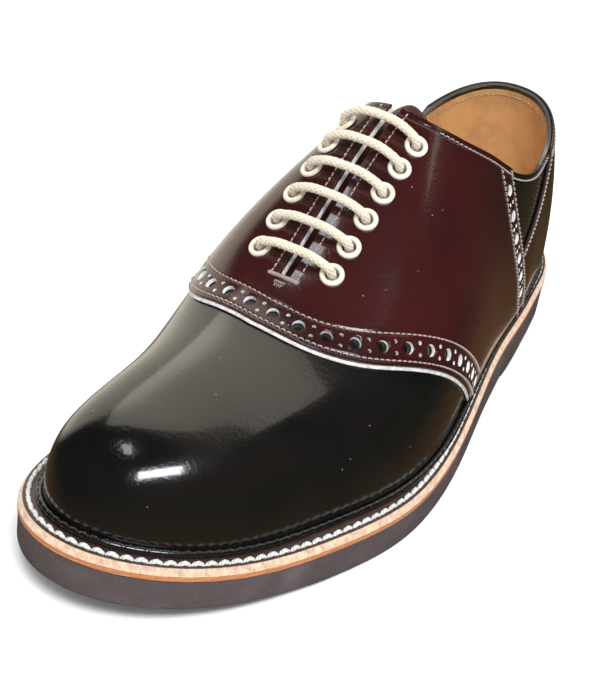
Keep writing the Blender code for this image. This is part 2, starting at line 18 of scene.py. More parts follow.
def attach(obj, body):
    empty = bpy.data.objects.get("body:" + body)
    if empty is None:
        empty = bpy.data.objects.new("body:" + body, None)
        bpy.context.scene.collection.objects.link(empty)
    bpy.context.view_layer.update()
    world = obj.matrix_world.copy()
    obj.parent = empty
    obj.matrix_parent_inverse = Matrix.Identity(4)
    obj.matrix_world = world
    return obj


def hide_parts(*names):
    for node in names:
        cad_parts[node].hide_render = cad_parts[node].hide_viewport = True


bl_info = {
    "name": "Saddle Shoe",
    "version": (1, 0, 0),
    "blender": (4, 5, 0),
    "location": "View3D > Sidebar > Saddle Shoe",
    "description": "Leather, thread, lace and rubber of a saddle shoe round its CAD frame",
    "category": "Object",
}

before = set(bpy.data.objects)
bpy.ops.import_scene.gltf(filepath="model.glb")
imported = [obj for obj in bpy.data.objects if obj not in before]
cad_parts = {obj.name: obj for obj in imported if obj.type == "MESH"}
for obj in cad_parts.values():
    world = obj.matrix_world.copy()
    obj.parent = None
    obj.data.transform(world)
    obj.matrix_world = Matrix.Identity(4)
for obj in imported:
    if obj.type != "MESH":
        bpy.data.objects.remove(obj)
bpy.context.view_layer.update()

MM = 0.001

# Main sizes of the last, as in the CAD part
LAST_LENGTH = 283.0
BALL_WIDTH = 100.0
INSTEP_HEIGHT = 87.0
HEEL_HEIGHT = 30.0

# Walls and air between layers
GAP = 0.3
UPPER_WALL = 1.8
LEATHER = 1.15
LINING_GAP = 0.05
SADDLE_WALL = 1.4
COUNTER_WALL = 1.0
COUNTER_CLEAR = 0.5
TONGUE_WALL = 2.4
INSOLE_THICK = 3.0
INSOLE_INSET = 1.4
WELT_THICK = 4.1
WELT_WIDTH = 8.0
WELT_BEVEL = 1.3
WELT_BEVEL_DROP = 2.0
SOLE_INSET = 0.3
SOLE_EDGE = 1.4
HEEL_BLOCK = 8.6
HEEL_SHARE = 0.26
HEEL_SLANT = 7.0
HEEL_TAPER = 1.2

# Throat and lacing
SLIT_TOP = 0.4375
SLIT_END = 0.6525
SLIT_HALF = 1.7
EYELET_PAIRS = 6
EYELET_FIRST = 0.465
EYELET_LAST = 0.630
EYELET_OUT = 13.4
EYELET_HOLE = 4.6
EYELET_BARREL = 5.1
EYELET_FLANGE = 8.2
EYELET_CROWN = 1.0
LACE_THICK = 3.3
LACE_RISE = 5.0
LACE_STEP = 4.2
TONGUE_TOP = 0.410
TONGUE_END = 0.70
TONGUE_HALF = 19.0

# Roundings of the last's two ends
HEEL_ROUND = 0.13
HEEL_POWER = 2.2
TOE_ROUND = 0.64
TOE_POWER = 2.0
TOE_DROP = 0.80
TOE_DROP_POWER = 2.35
BACK_LEAN = 10.0
BACK_LEAN_FROM = 22.0
BACK_LEAN_OVER = 45.0
BACK_LEAN_SHARE = 0.30

# Sections from the heel to the toe, as in the CAD part
Section = namedtuple("Section", "share centre half feather ridge slim boxy shift welt")
SECTIONS = (
    Section(0.00, -0.03, 0.60, 1.000, 1.328, 0.08, -0.12, -0.03, 0.62),
    Section(0.10, -0.02, 0.65, 0.917, 1.316, 0.10, -0.18, -0.06, 0.56),
    Section(0.22, 0.06, 0.69, 0.867, 1.276, 0.12, -0.08, -0.06, 0.50),
    Section(0.34, 0.12, 0.72, 0.833, 1.172, 0.20, -0.04, -0.11, 0.50),
    Section(0.46, 0.10, 0.87, 0.733, 1.000, 0.18, 0.12, -0.15, 0.56),
    Section(0.58, 0.08, 1.00, 0.583, 0.776, 0.09, 0.22, -0.14, 0.62),
    Section(0.68, 0.08, 0.97, 0.533, 0.580, 0.05, 0.20, -0.13, 0.88),
    Section(0.78, 0.05, 0.90, 0.550, 0.489, 0.06, 0.18, -0.09, 1.00),
    Section(0.88, -0.03, 0.92, 0.600, 0.437, 0.00, 0.25, -0.05, 0.94),
    Section(1.00, -0.14, 1.02, 0.817, 0.437, -0.09, 0.32, 0.00, 0.88),
)

EdgePoint = namedtuple("EdgePoint", "share turn")
TOP_EDGE = (
    EdgePoint(0.000, 35.5),
    EdgePoint(0.060, 34.0),
    EdgePoint(0.120, 32.2),
    EdgePoint(0.200, 31.4),
    EdgePoint(0.260, 34.4),
    EdgePoint(0.305, 39.4),
    EdgePoint(0.350, 47.0),
    EdgePoint(0.397, 57.0),
    EdgePoint(0.425, 68.8),
    EdgePoint(0.4345, 77.0),
    EdgePoint(SLIT_TOP, 84.0),
)

SolePoint = namedtuple("SolePoint", "share height")
SOLE_UNDER = (
    SolePoint(0.00, 1.00),
    SolePoint(0.285, 1.00),
    SolePoint(0.300, 0.62),
    SolePoint(0.330, 0.34),
    SolePoint(0.380, 0.16),
    SolePoint(0.440, 0.04),
    SolePoint(0.500, 0.00),
    SolePoint(0.720, 0.00),
    SolePoint(0.800, 0.09),
    SolePoint(0.900, 0.42),
    SolePoint(1.000, 0.95),
)

# Seams as shares of the length, read up the wall from the feather to the top
Seam = namedtuple("Seam", "climb rear front_outer front_inner")
SEAMS = (
    Seam(0.0000, 0.213, 0.474, 0.500),
    Seam(0.2500, 0.245, 0.587, 0.606),
    Seam(0.4167, 0.267, 0.651, 0.660),
    Seam(0.5000, 0.277, 0.678, 0.682),
    Seam(0.7500, 0.298, 0.7205, 0.714),
    Seam(1.0000, 0.305, 0.726, 0.726),
)
CounterPoint = namedtuple("CounterPoint", "climb share")
COUNTER_MEETS = 5 / 12
COUNTER_SEAM = (
    CounterPoint(0.50, 0.236),
    CounterPoint(0.75, 0.163),
    CounterPoint(1.00, 0.108),
)
TOE_FIRST = 0.74
TOE_CROWN = (0.785, 0.885)

# Mesh lines of the dressed leather
ROWS = 72
QUARTER_RIBS = 44
CORNER_RIBS = 16
SLIT_RIBS = 30
FRONT_RIBS = 12
VAMP_RIBS = 8
TOE_RIBS = 40
PLAN_HEEL = 24
PLAN_MIDDLE = 70
PLAN_TOE = 40

# Stitch rows, measured from the edge that each follows
FRONT_ROWS = (2.9, 11.6)
REAR_ROWS = (1.6, 8.6)
TOP_ROW = 2.4
SLIT_ROW = 3.0
COUNTER_ROW = 1.5
LINING_ROW = 4.4
BAND_MIDDLE = 7.2
REAR_MIDDLE = 5.1
ROW_REACH = 0.0075    # how much longer a row is for each millimetre from the seam
WELT_ROW = 3.0

# Camera of the photograph, in millimetres and degrees round the object
AZIMUTH = 26.23
ELEVATION = 30.76
ROLL = 9.45
DISTANCE = 522.86
TARGET = (-19.07, 1.70, 18.11)
LENS = 73.02


class ShoeSizes(bpy.types.PropertyGroup):
    """Sizes of thread, holes, lace and edges."""

    stitch_pitch: FloatProperty(
        name="Stitch pitch", description="Distance between stitches of the uppers",
        default=0.0021, min=0.001, max=0.006, unit="LENGTH")
    thread: FloatProperty(
        name="Thread", description="Thickness of the upper's thread",
        default=0.0005, min=0.0002, max=0.001, unit="LENGTH")
    welt_pitch: FloatProperty(
        name="Welt stitch pitch", description="Distance between stitches on the welt",
        default=0.0042, min=0.002, max=0.01, unit="LENGTH")
    welt_thread: FloatProperty(
        name="Welt thread", description="Thickness of the thread on the welt",
        default=0.0015, min=0.0005, max=0.002, unit="LENGTH")
    large_hole: FloatProperty(
        name="Large hole", description="Diameter of the large punched holes",
        default=0.0041, min=0.002, max=0.006, unit="LENGTH")
    small_hole: FloatProperty(
        name="Small hole", description="Diameter of the small punched holes",
        default=0.0014, min=0.0006, max=0.003, unit="LENGTH")
    hole_pitch: FloatProperty(
        name="Hole pitch", description="Distance between the large holes",
        default=0.0092, min=0.006, max=0.02, unit="LENGTH")
    edge_round: FloatProperty(
        name="Edge rounding", description="Rounding of the leather's edges",
        default=0.00035, min=0.0001, max=0.0005, unit="LENGTH")
    raw_lip: FloatProperty(
        name="Raw lip", description="How far the pale flesh side stands out of the saddle's front edge",
        default=0.0013, min=0.0, max=0.002, unit="LENGTH")
    braid_pitch: FloatProperty(
        name="Braid pitch", description="Length of one turn of a strand of the lace",
        default=0.0125, min=0.006, max=0.03, unit="LENGTH")
    braid_strands: IntProperty(
        name="Braid strands", description="Strands that run each way round the lace",
        default=6, min=4, max=8)
    bead: FloatProperty(
        name="Bead", description="Thickness of the rolled bead between upper and welt",
        default=0.0022, min=0.001, max=0.003, unit="LENGTH")


class ShoeColours(bpy.types.PropertyGroup):
    """Colours of the finishes."""

    black: FloatVectorProperty(
        name="Black leather", description="Vamp, quarters and counter",
        subtype="COLOR", size=4, min=0, max=1, default=(0.003, 0.003, 0.003, 1))
    oxblood: FloatVectorProperty(
        name="Oxblood leather", description="Saddle",
        subtype="COLOR", size=4, min=0, max=1, default=(0.036, 0.0064, 0.0062, 1))
    raw: FloatVectorProperty(
        name="Raw edge", description="Cut flesh side of the leather",
        subtype="COLOR", size=4, min=0, max=1, default=(0.74, 0.69, 0.67, 1))
    tan: FloatVectorProperty(
        name="Tan lining", description="Lining and insole",
        subtype="COLOR", size=4, min=0, max=1, default=(0.62, 0.34, 0.14, 1))
    tongue: FloatVectorProperty(
        name="Tongue", description="Brown leather of the tongue",
        subtype="COLOR", size=4, min=0, max=1, default=(0.045, 0.014, 0.011, 1))
    thread: FloatVectorProperty(
        name="Thread", description="Thread of the saddle and the seams",
        subtype="COLOR", size=4, min=0, max=1, default=(0.50, 0.37, 0.335, 1))
    welt_thread: FloatVectorProperty(
        name="Welt thread", description="White thread on the welt",
        subtype="COLOR", size=4, min=0, max=1, default=(0.66, 0.63, 0.585, 1))
    welt: FloatVectorProperty(
        name="Welt", description="Top of the welt",
        subtype="COLOR", size=4, min=0, max=1, default=(0.032, 0.016, 0.012, 1))
    welt_side: FloatVectorProperty(
        name="Welt side", description="Cut side of the welt",
        subtype="COLOR", size=4, min=0, max=1, default=(0.46, 0.19, 0.068, 1))
    rubber: FloatVectorProperty(
        name="Rubber", description="Outsole and heel",
        subtype="COLOR", size=4, min=0, max=1, default=(0.088, 0.063, 0.063, 1))
    enamel: FloatVectorProperty(
        name="Enamel", description="Eyelets",
        subtype="COLOR", size=4, min=0, max=1, default=(0.70, 0.635, 0.53, 1))
    cotton: FloatVectorProperty(
        name="Cotton", description="Lace",
        subtype="COLOR", size=4, min=0, max=1, default=(0.64, 0.565, 0.455, 1))
    floor: FloatVectorProperty(
        name="Floor", description="Floor and background",
        subtype="COLOR", size=4, min=0, max=1, default=(0.88, 0.88, 0.88, 1))


def sizes():
    return bpy.context.scene.saddle_shoe_sizes


def colours():
    return bpy.context.scene.saddle_shoe_colours


def in_mm(length):
    return length / MM


# The last

def spline(shares, values):
    """Natural cubic through the given points; the values may be points too."""
    x = np.array(shares, float)
    y = np.array(values, float)
    n = len(x)
    step = np.diff(x)
    left = np.zeros((n, n))
    right = np.zeros(y.shape)
    left[0, 0] = left[-1, -1] = 1.0
    for i in range(1, n - 1):
        left[i, i - 1] = step[i - 1]
        left[i, i] = 2 * (step[i - 1] + step[i])
        left[i, i + 1] = step[i]
        right[i] = 6 * ((y[i + 1] - y[i]) / step[i] - (y[i] - y[i - 1]) / step[i - 1])
    bend = np.linalg.solve(left, right)

    def value(at):
        at = np.asarray(at, float)
        i = np.clip(np.searchsorted(x, at, side="right") - 1, 0, n - 2)
        t = at - x[i]
        h = step[i]
        if y.ndim > 1:
            t = t[..., None]
            h = h[..., None]
        slope = (y[i + 1] - y[i]) / h - h * (2 * bend[i] + bend[i + 1]) / 6
        return y[i] + t * slope + t**2 * bend[i] / 2 + t**3 * (bend[i + 1] - bend[i]) / (6 * h)

    return value


def section_curve(column, scale=1.0):
    return spline([row.share for row in SECTIONS], [scale * getattr(row, column) for row in SECTIONS])


centre = section_curve("centre", BALL_WIDTH / 2)
half = section_curve("half", BALL_WIDTH / 2)
feather = section_curve("feather", HEEL_HEIGHT)
ridge = section_curve("ridge", INSTEP_HEIGHT)
slim = section_curve("slim")
boxy = section_curve("boxy")
shift = section_curve("shift", BALL_WIDTH / 2)
welt_width = section_curve("welt", WELT_WIDTH)


def roundings(s):
    """How far the width and the height have closed at share s."""
    toe = np.clip((s - TOE_ROUND) / (1 - TOE_ROUND), 0, 1)
    heel = np.clip((HEEL_ROUND - s) / HEEL_ROUND, 0, 1)
    drop = np.clip((s - TOE_DROP) / (1 - TOE_DROP), 0, 1)
    wide = (1 - toe**TOE_POWER) ** (1 / TOE_POWER) * (1 - heel**HEEL_POWER) ** (1 / HEEL_POWER)
    high = (1 - drop**TOE_DROP_POWER) ** (1 / TOE_DROP_POWER)
    return wide, high


def last_point(s, turn):
    """Point of the last: turn is 0 at the outer feather, a quarter turn on the ridge."""
    s = np.asarray(s, float)
    turn = np.asarray(turn, float)
    wide, high = roundings(s)
    side, rise = np.cos(turn), np.sin(turn)
    x = centre(s) + half(s) * wide * side * (1 - slim(s) * rise**2) + shift(s) * wide * rise**2
    up = ridge(s) * high * rise * (1 + boxy(s) * side**2)
    lean = np.clip((up - BACK_LEAN_FROM) / BACK_LEAN_OVER, 0, None) ** 2
    near = np.clip(1 - s / BACK_LEAN_SHARE, 0, 1) ** 2
    y = (0.5 - s) * LAST_LENGTH - BACK_LEAN * lean * near
    return np.stack(np.broadcast_arrays(x, y, feather(s) + up), -1)


def unit(vectors):
    return vectors / np.maximum(np.linalg.norm(vectors, axis=-1, keepdims=True), 1e-12)


def last_slopes(s, turn):
    """Change of the point with the share and with the turn, and the normal."""
    e = 1e-3
    along = (last_point(s + e, turn) - last_point(s - e, turn)) / (2 * e)
    across = (last_point(s, turn + e) - last_point(s, turn - e)) / (2 * e)
    return along, across, unit(np.cross(across, along))


def last_skin(s, turn, out):
    return last_point(s, turn) + last_slopes(s, turn)[2] * out


def slit_turn(s):
    """Turn of the slit's edge."""
    return math.pi / 2 - SLIT_HALF / float(half(s) * (1 - slim(s)))


def edge_curve():
    """Top edge as (share, turn) over its own length, 0 at the back seam and 1 at the corner."""
    rows = [(row.share, math.radians(row.turn)) for row in TOP_EDGE] + [(SLIT_TOP, slit_turn(SLIT_TOP))]
    places = last_point(np.array([r[0] for r in rows]), np.array([r[1] for r in rows]))
    run = np.concatenate([[0.0], np.cumsum(np.linalg.norm(np.diff(places, axis=0), axis=1))])
    run /= run[-1]
    return spline(run, [r[0] for r in rows]), spline(run, [r[1] for r in rows])


edge_share, edge_turn = edge_curve()


def edge_part(share):
    """Part of the top edge at which it passes the given share."""
    parts = np.linspace(0, 0.9, 400)
    return float(np.interp(share, edge_share(parts), parts))


def seam_line(column, climbs):
    return spline([row.climb for row in SEAMS], [getattr(row, column) for row in SEAMS])(climbs)


def front_line(side, climbs):
    return seam_line("front_outer" if side > 0 else "front_inner", climbs)


def counter_line(climbs):
    """Front edge of the counter: along the saddle's rear seam below, swept back above it."""
    clear = COUNTER_CLEAR / LAST_LENGTH
    meet = float(seam_line("rear", COUNTER_MEETS)) - clear
    rows = [(COUNTER_MEETS, meet)] + [(row.climb, row.share) for row in COUNTER_SEAM]
    swept = spline([r[0] for r in rows], [r[1] for r in rows])(np.maximum(climbs, COUNTER_MEETS))
    return np.where(climbs < COUNTER_MEETS, seam_line("rear", climbs) - clear, swept)


def plan_shares():
    """Shares of the outline, close together round the heel and the toe."""
    angle = np.linspace(0, math.pi / 2, PLAN_HEEL + 1)
    heel = HEEL_ROUND * (1 - np.cos(angle) ** (2 / HEEL_POWER))
    waist = np.linspace(HEEL_ROUND, TOE_ROUND, PLAN_MIDDLE + 1)[1:]
    angle = np.linspace(0, math.pi / 2, PLAN_TOE + 1)[1:]
    toe = TOE_ROUND + (1 - TOE_ROUND) * np.sin(angle) ** (2 / TOE_POWER)
    return np.concatenate([heel, waist, toe])


def outline(s, side):
    return np.array([centre(s) + side * half(s) * roundings(s)[0], (0.5 - s) * LAST_LENGTH])


def rim(s, side, out):
    """Outline of the feather moved out by the given width, seen from above."""
    if s < 1e-6 or s > 1 - 1e-6:
        normal = np.array([0.0, 1.0 if s < 0.5 else -1.0])
    else:
        e = min(1e-4, s / 2, (1 - s) / 2)
        along = outline(s + e, side) - outline(s - e, side)
        normal = np.array([-along[1], along[0]]) * side
        normal /= np.linalg.norm(normal)
    return outline(s, side) + normal * out


def sole_under(s):
    height = np.interp(s, [row.share for row in SOLE_UNDER], [row.height for row in SOLE_UNDER])
    return height * HEEL_BLOCK


def box_centre():
    points = np.array([rim(s, side, welt_width(s)) for s in plan_shares() for side in (1, -1)])
    return (points.min(axis=0) + points.max(axis=0)) / 2


MIDDLE = np.append(box_centre(), 0.0)


def placed(points):
    """Millimetres of the last to metres of the frame."""
    return (np.asarray(points, float) - MIDDLE) * MM


# Ribs of the leather

def saddle_tops(rear_part):
    """Top ends of the saddle's mesh lines: along the top edge, down the slit and to the front seam."""
    tops = []
    for part in np.linspace(0, 1, CORNER_RIBS + 1)[1:] ** 0.8:
        at = rear_part + (1 - rear_part) * part
        tops.append((float(edge_share(at)), float(edge_turn(at))))
    for part in np.linspace(0, 1, SLIT_RIBS + 1)[1:]:
        s = SLIT_TOP + (SLIT_END - SLIT_TOP) * part
        tops.append((s, slit_turn(s)))
    tops.append((SLIT_END + 0.001, math.pi / 2))
    for part in np.linspace(0, 1, FRONT_RIBS + 1)[1:]:
        tops.append((SLIT_END + 0.001 + (SEAMS[-1].front_outer - SLIT_END - 0.001) * part, math.pi / 2))
    return tops


def quarter_ribs(climbs):
    rear = seam_line("rear", climbs)
    ribs = []
    for i in range(QUARTER_RIBS):
        line = rear * (i / QUARTER_RIBS) ** 1.4
        ribs.append((line, climbs * float(edge_turn(edge_part(line[-1])))))
    return ribs


def saddle_ribs(side, climbs):
    rear = seam_line("rear", climbs)
    front = front_line(side, climbs)
    rear_part = edge_part(rear[-1])
    tops = saddle_tops(rear_part)
    rear_bow = rear - (rear[0] + (rear[-1] - rear[0]) * climbs)
    front_bow = front - (front[0] + (front[-1] - front[0]) * climbs)
    ribs = [(rear, climbs * float(edge_turn(rear_part)))]
    for i, (top, turn) in enumerate(tops, 1):
        part = i / len(tops)
        foot = rear[0] + (front[0] - rear[0]) * part ** 0.6
        line = foot + (top - foot) * climbs + rear_bow * (1 - part) + front_bow * part
        ribs.append((line, climbs * turn))
    shares, turns = (np.array(column) for column in zip(*ribs))
    for grid in (shares, turns):
        grid[1:-1, 1:-1] = (grid[:-2, 1:-1] + grid[2:, 1:-1] + grid[1:-1, :-2] + grid[1:-1, 2:]) / 4
    return list(zip(shares, turns))


def toe_rib(part, climbs):
    """Rib of the fan round the toe, from its outline up to the middle line."""
    first = math.asin((TOE_FIRST - TOE_ROUND) / (1 - TOE_ROUND))
    start = TOE_ROUND + (1 - TOE_ROUND) * math.sin(first + (math.pi / 2 - first) * part)
    crown = TOE_CROWN[0] + (TOE_CROWN[1] - TOE_CROWN[0]) * part
    aim = math.acos(min(1.0, (start - crown) / (1 - crown)))
    lift = climbs * math.pi / 2
    s = crown + (1 - crown) * np.cos(lift) * math.cos(aim)
    turn = np.arctan2(np.sin(lift), np.cos(lift) * max(math.sin(aim), 1e-9))
    return s, turn


def front_ribs(side, climbs):
    """Ribs from the saddle's front seam over the vamp and round the toe."""
    seam = (front_line(side, climbs), climbs * math.pi / 2)
    toes = [toe_rib(i / TOE_RIBS, climbs) for i in range(TOE_RIBS + 1)]
    ribs = []
    for i in range(1, VAMP_RIBS):
        v = i / VAMP_RIBS
        ribs.append((seam[0] + (toes[0][0] - seam[0]) * v, seam[1] + (toes[0][1] - seam[1]) * v))
    return ribs + toes


def counter_ribs(climbs):
    bound = counter_line(climbs)
    rear_top = float(edge_turn(edge_part(float(seam_line("rear", 1.0)))))
    ribs = []
    for i in range(QUARTER_RIBS + 1):
        part = (i / QUARTER_RIBS) ** 1.4
        line = bound * part
        top = float(edge_turn(edge_part(line[-1])))
        low = COUNTER_MEETS * (top + (rear_top - top) * part)
        ribs.append((line, np.interp(climbs, (0, COUNTER_MEETS, 1), (0, low, top))))
    return ribs


class Skin:
    """Grid of the leather's outer face over both sides of the foot, with shared points joined."""

    def __init__(self, ribs_of):
        climbs = np.linspace(0, 1, ROWS + 1)
        points, quads, ribs_at, rows_at = [], [], [], []
        for side in (1, -1):
            ribs = ribs_of(side, climbs)
            count = len(ribs)
            shares = np.array([r[0] for r in ribs])
            turns = np.array([r[1] for r in ribs])
            base = sum(len(p) for p in points)
            points.append(last_point(shares, turns if side > 0 else math.pi - turns).reshape(-1, 3))
            i, j = np.meshgrid(np.arange(count), np.arange(ROWS + 1), indexing="ij")
            ribs_at.append(i.ravel())
            rows_at.append(j.ravel())
            a = base + (i[:-1, :-1] * (ROWS + 1) + j[:-1, :-1]).ravel()
            quad = np.stack([a, a + 1, a + ROWS + 2, a + ROWS + 1], -1)
            quads.append(quad if side > 0 else quad[:, ::-1])
        points = np.concatenate(points)
        keys = np.floor(points * 1000 + 0.137).astype(np.int64)
        _, first, place = np.unique(keys, axis=0, return_index=True, return_inverse=True)
        place = place.reshape(-1)
        self.points = points[first]
        self.rib = np.concatenate(ribs_at)[first]
        self.row = np.concatenate(rows_at)[first]
        self.faces = []
        for quad in place[np.concatenate(quads)]:
            ring = [int(v) for k, v in enumerate(quad) if v != quad[k - 1]]
            if len(ring) > 2:
                self.faces.append(ring)
        self.find_normals()

    def find_normals(self):
        normals = np.zeros_like(self.points)
        for ring in self.faces:
            p = self.points[ring]
            if len(ring) == 4:
                area = np.cross(p[2] - p[0], p[3] - p[1])
            else:
                area = np.cross(p[1] - p[0], p[2] - p[0])
            normals[ring] += area
        self.normals = unit(normals)

    def part(self, keep):
        """The same skin with only the faces whose rib and row pass the test."""
        made = Skin.__new__(Skin)
        faces = [f for f in self.faces if keep(self.rib[f], self.row[f])]
        used = sorted({v for f in faces for v in f})
        place = {v: k for k, v in enumerate(used)}
        made.points, made.normals = self.points[used], self.normals[used]
        made.rib, made.row = self.rib[used], self.row[used]
        made.faces = [[place[v] for v in f] for f in faces]
        return made

    def border(self):
        """Border edges as pairs, turned as their faces are."""
        seen = {}
        for ring in self.faces:
            for k, v in enumerate(ring):
                seen[(v, ring[(k + 1) % len(ring)])] = True
        return [pair for pair in seen if pair[::-1] not in seen]


def border_directions(skin, border):
    """At each border point the direction in the skin that leads away from it."""
    away = {}
    for a, b in border:
        step = skin.points[b] - skin.points[a]
        out = np.cross(step, (skin.normals[a] + skin.normals[b]) / 2)
        for v in (a, b):
            away[v] = away.get(v, 0) + unit(out)
    return {v: unit(d) for v, d in away.items()}


def edge_profile(low, high, curve):
    """Rounded edge from the top face to the bottom face as (inset, height, outward share)."""
    return [(curve, high, 0.0), (0.3 * curve, high - 0.3 * curve, 0.7), (0.0, high - curve, 1.0),
            (0.0, low + curve, 1.0), (0.3 * curve, low + 0.3 * curve, 0.7), (curve, low, 0.0)]


def lip_profile(low, high, curve, lip):
    """Edge whose upper half is drawn back from the flesh side under it."""
    split = low + 0.48 * (high - low)
    return [(lip + curve, high, 0.0), (lip + 0.3 * curve, high - 0.3 * curve, 0.7), (lip, high - curve, 1.0),
            (lip * 0.85, split + 0.05, 0.6), (curve, split - 0.12, 0.45), (0.0, low + curve, 1.0),
            (0.3 * curve, low + 0.3 * curve, 0.7), (curve, low, 0.0)]


def leather_body(name, skin, low, high, slots, edge_slot=None, lip_rows=None):
    """Closed sheet on the skin from height low to height high, with rounded edges.

    slots are its materials: face, edge, back. edge_slot(rib, row) chooses the edge's slot.
    lip_rows(rib, row) tells where the pale lip stands out.
    """
    n = len(skin.points)
    low = np.broadcast_to(np.asarray(low, float), (n,))
    high = np.broadcast_to(np.asarray(high, float), (n,))
    border = skin.border()
    away = border_directions(skin, border)
    curve = in_mm(sizes().edge_round)
    top = skin.points + skin.normals * high[:, None]
    bottom = skin.points + skin.normals * low[:, None]
    points = [*top, *bottom]
    normals = [*skin.normals, *-skin.normals]
    rings = {}
    for v, out in away.items():
        lipped = lip_rows is not None and lip_rows(skin.rib[v], skin.row[v])
        lip = in_mm(sizes().raw_lip) if lipped else 0.0
        if lip_rows is None:
            profile = edge_profile(low[v], high[v], curve)
        else:
            profile = lip_profile(low[v], high[v], curve, lip)
        ring = []
        for k, (inset, height, share) in enumerate(profile):
            place = skin.points[v] + skin.normals[v] * height - out * inset
            upward = 1.0 if k < len(profile) / 2 or (lip_rows is not None and k == 4) else -1.0
            normal = unit(out * share + skin.normals[v] * upward * (1 - share))
            if k == 0:
                points[v] = place
                ring.append(v)
            elif k == len(profile) - 1:
                points[n + v] = place
                ring.append(n + v)
            else:
                ring.append(len(points))
                points.append(place)
                normals.append(normal)
        rings[v] = ring
    faces = [tuple(f) for f in skin.faces] + [tuple(n + v for v in reversed(f)) for f in skin.faces]
    marks = [0] * len(skin.faces) + [2] * len(skin.faces)
    for a, b in border:
        slot = 1 if edge_slot is None else edge_slot(skin.rib[[a, b]], skin.row[[a, b]])
        for k in range(len(rings[a]) - 1):
            faces.append((rings[b][k], rings[a][k], rings[a][k + 1], rings[b][k + 1]))
            marks.append(0 if (lip_rows is not None and k < 3) else slot)
    return new_piece(name, points, faces, slots, marks, normals)


def linked(name, data):
    """Object of the scene that holds the given data."""
    obj = bpy.data.objects.new(name, data)
    bpy.context.scene.collection.objects.link(obj)
    return obj


def new_piece(name, points, faces, materials, marks=None, normals=None):
    """Object at the origin from millimetre points, riding on nothing yet."""
    mesh = bpy.data.meshes.new(name)
    mesh.from_pydata([tuple(p) for p in placed(points)], [], faces)
    kinds = list(dict.fromkeys(materials))
    for material in kinds:
        mesh.materials.append(material)
    if marks is not None:
        slots = np.array([kinds.index(material) for material in materials], np.int32)
        mesh.polygons.foreach_set("material_index", slots[np.array(marks)])
    mesh.polygons.foreach_set("use_smooth", np.ones(len(mesh.polygons), bool))
    if normals is not None:
        mesh.normals_split_custom_set_from_vertices([tuple(v) for v in normals])
    mesh.update()
    return linked(name, mesh)


def finished(obj, *nodes, slot=None):
    """Last step of a piece: it rides on the body and stands for its CAD nodes."""
    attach(obj, "root")
    if nodes:
        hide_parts(*nodes)
    return obj


def set_numbers(obj, name, values):
    """Store a number for each point of the mesh, for its material to read."""
    layer = obj.data.attributes.new(name, "FLOAT", "POINT")
    layer.data.foreach_set("value", np.asarray(values, np.float32))


def distance_to(points, targets):
    """Distance from each point to the nearest target, all in millimetres."""
    tree = KDTree(len(targets))
    for i, p in enumerate(targets):
        tree.insert(p, i)
    tree.balance()
    return np.array([tree.find(p)[2] for p in points])


def points_of(obj):
    co = np.zeros(len(obj.data.vertices) * 3)
    obj.data.vertices.foreach_get("co", co)
    return co.reshape(-1, 3) / MM + MIDDLE


# Lines on the leather

def walked(s, turn, distance, steps=12, eased=True):
    """Line moved sideways over the skin by a distance in millimetres, to the left of its way."""
    s, turn = np.array(s, float), np.array(turn, float)
    for _ in range(steps):
        along, across, normal = last_slopes(s, turn)
        way = unit(np.gradient(last_point(s, turn), axis=0))
        side = np.cross(normal, way) * distance / steps
        aa = (along * along).sum(-1)
        ab = (along * across).sum(-1)
        bb = (across * across).sum(-1)
        a = (along * side).sum(-1)
        b = (across * side).sum(-1)
        det = aa * bb - ab * ab
        s = s + (a * bb - b * ab) / det
        turn = turn + (b * aa - a * ab) / det
        if eased:
            s, turn = spaced(s, turn, len(s))
            for values in (s, turn):
                values[1:-1] = (values[:-2] + 2 * values[1:-1] + values[2:]) / 4
    return s, turn


def spaced(s, turn, count):
    """Points of a line at equal distances along it, as shares and turns."""
    run = np.concatenate([[0.0], np.cumsum(np.linalg.norm(np.diff(last_point(s, turn), axis=0), axis=1))])
    at = np.linspace(0, run[-1], count)
    return np.interp(at, run, s), np.interp(at, run, turn)


def front_seam(count=240):
    """Front edge of the saddle over the foot from the outer to the inner feather."""
    climbs = np.linspace(0.0, 1.0, count // 2)
    outer = (front_line(1, climbs), climbs * math.pi / 2)
    inner = (front_line(-1, climbs), math.pi - climbs * math.pi / 2)
    return np.concatenate([outer[0], inner[0][::-1][1:]]), np.concatenate([outer[1], inner[1][::-1][1:]])


def sided(turn, side):
    return turn if side > 0 else math.pi - turn


def rear_seam(side, count=90, reach=1.0):
    """Rear edge of the saddle on one side; reach over 1 goes on past the top edge."""
    climbs = np.linspace(0.0, reach, count)
    turn = climbs * float(edge_turn(edge_part(float(seam_line("rear", 1.0)))))
    return seam_line("rear", climbs), sided(turn, side)


def counter_edge(side, count=90):
    climbs = np.linspace(COUNTER_MEETS, 1.0, count)
    top = float(edge_turn(edge_part(COUNTER_SEAM[-1].share)))
    rear_top = float(edge_turn(edge_part(float(seam_line("rear", 1.0)))))
    turn = np.interp(climbs, (COUNTER_MEETS, 1), (COUNTER_MEETS * rear_top, top))
    return counter_line(climbs), sided(turn, side)


def top_edge(side, first, last, count=160):
    parts = np.linspace(edge_part(first) if first else 0.0, last, count)
    return edge_share(parts), sided(edge_turn(parts), side)


def on_leather(s, turn, out):
    """Points and normals of a line at a height over the last."""
    normal = last_slopes(s, turn)[2]
    return last_point(s, turn) + normal * out, normal


# Geometry node trees

def add_node(tree, kind, settings=None, **inputs):
    """Node with its settings and inputs; an input that is a socket is linked."""
    made = tree.nodes.new(kind)
    for key, value in (settings or {}).items():
        setattr(made, key, value)
    for key, value in inputs.items():
        feed(tree, made.inputs[key.replace("_", " ")], value)
    return made


def feed(tree, socket, value):
    if isinstance(value, bpy.types.NodeSocket):
        tree.links.new(value, socket)
    else:
        socket.default_value = value


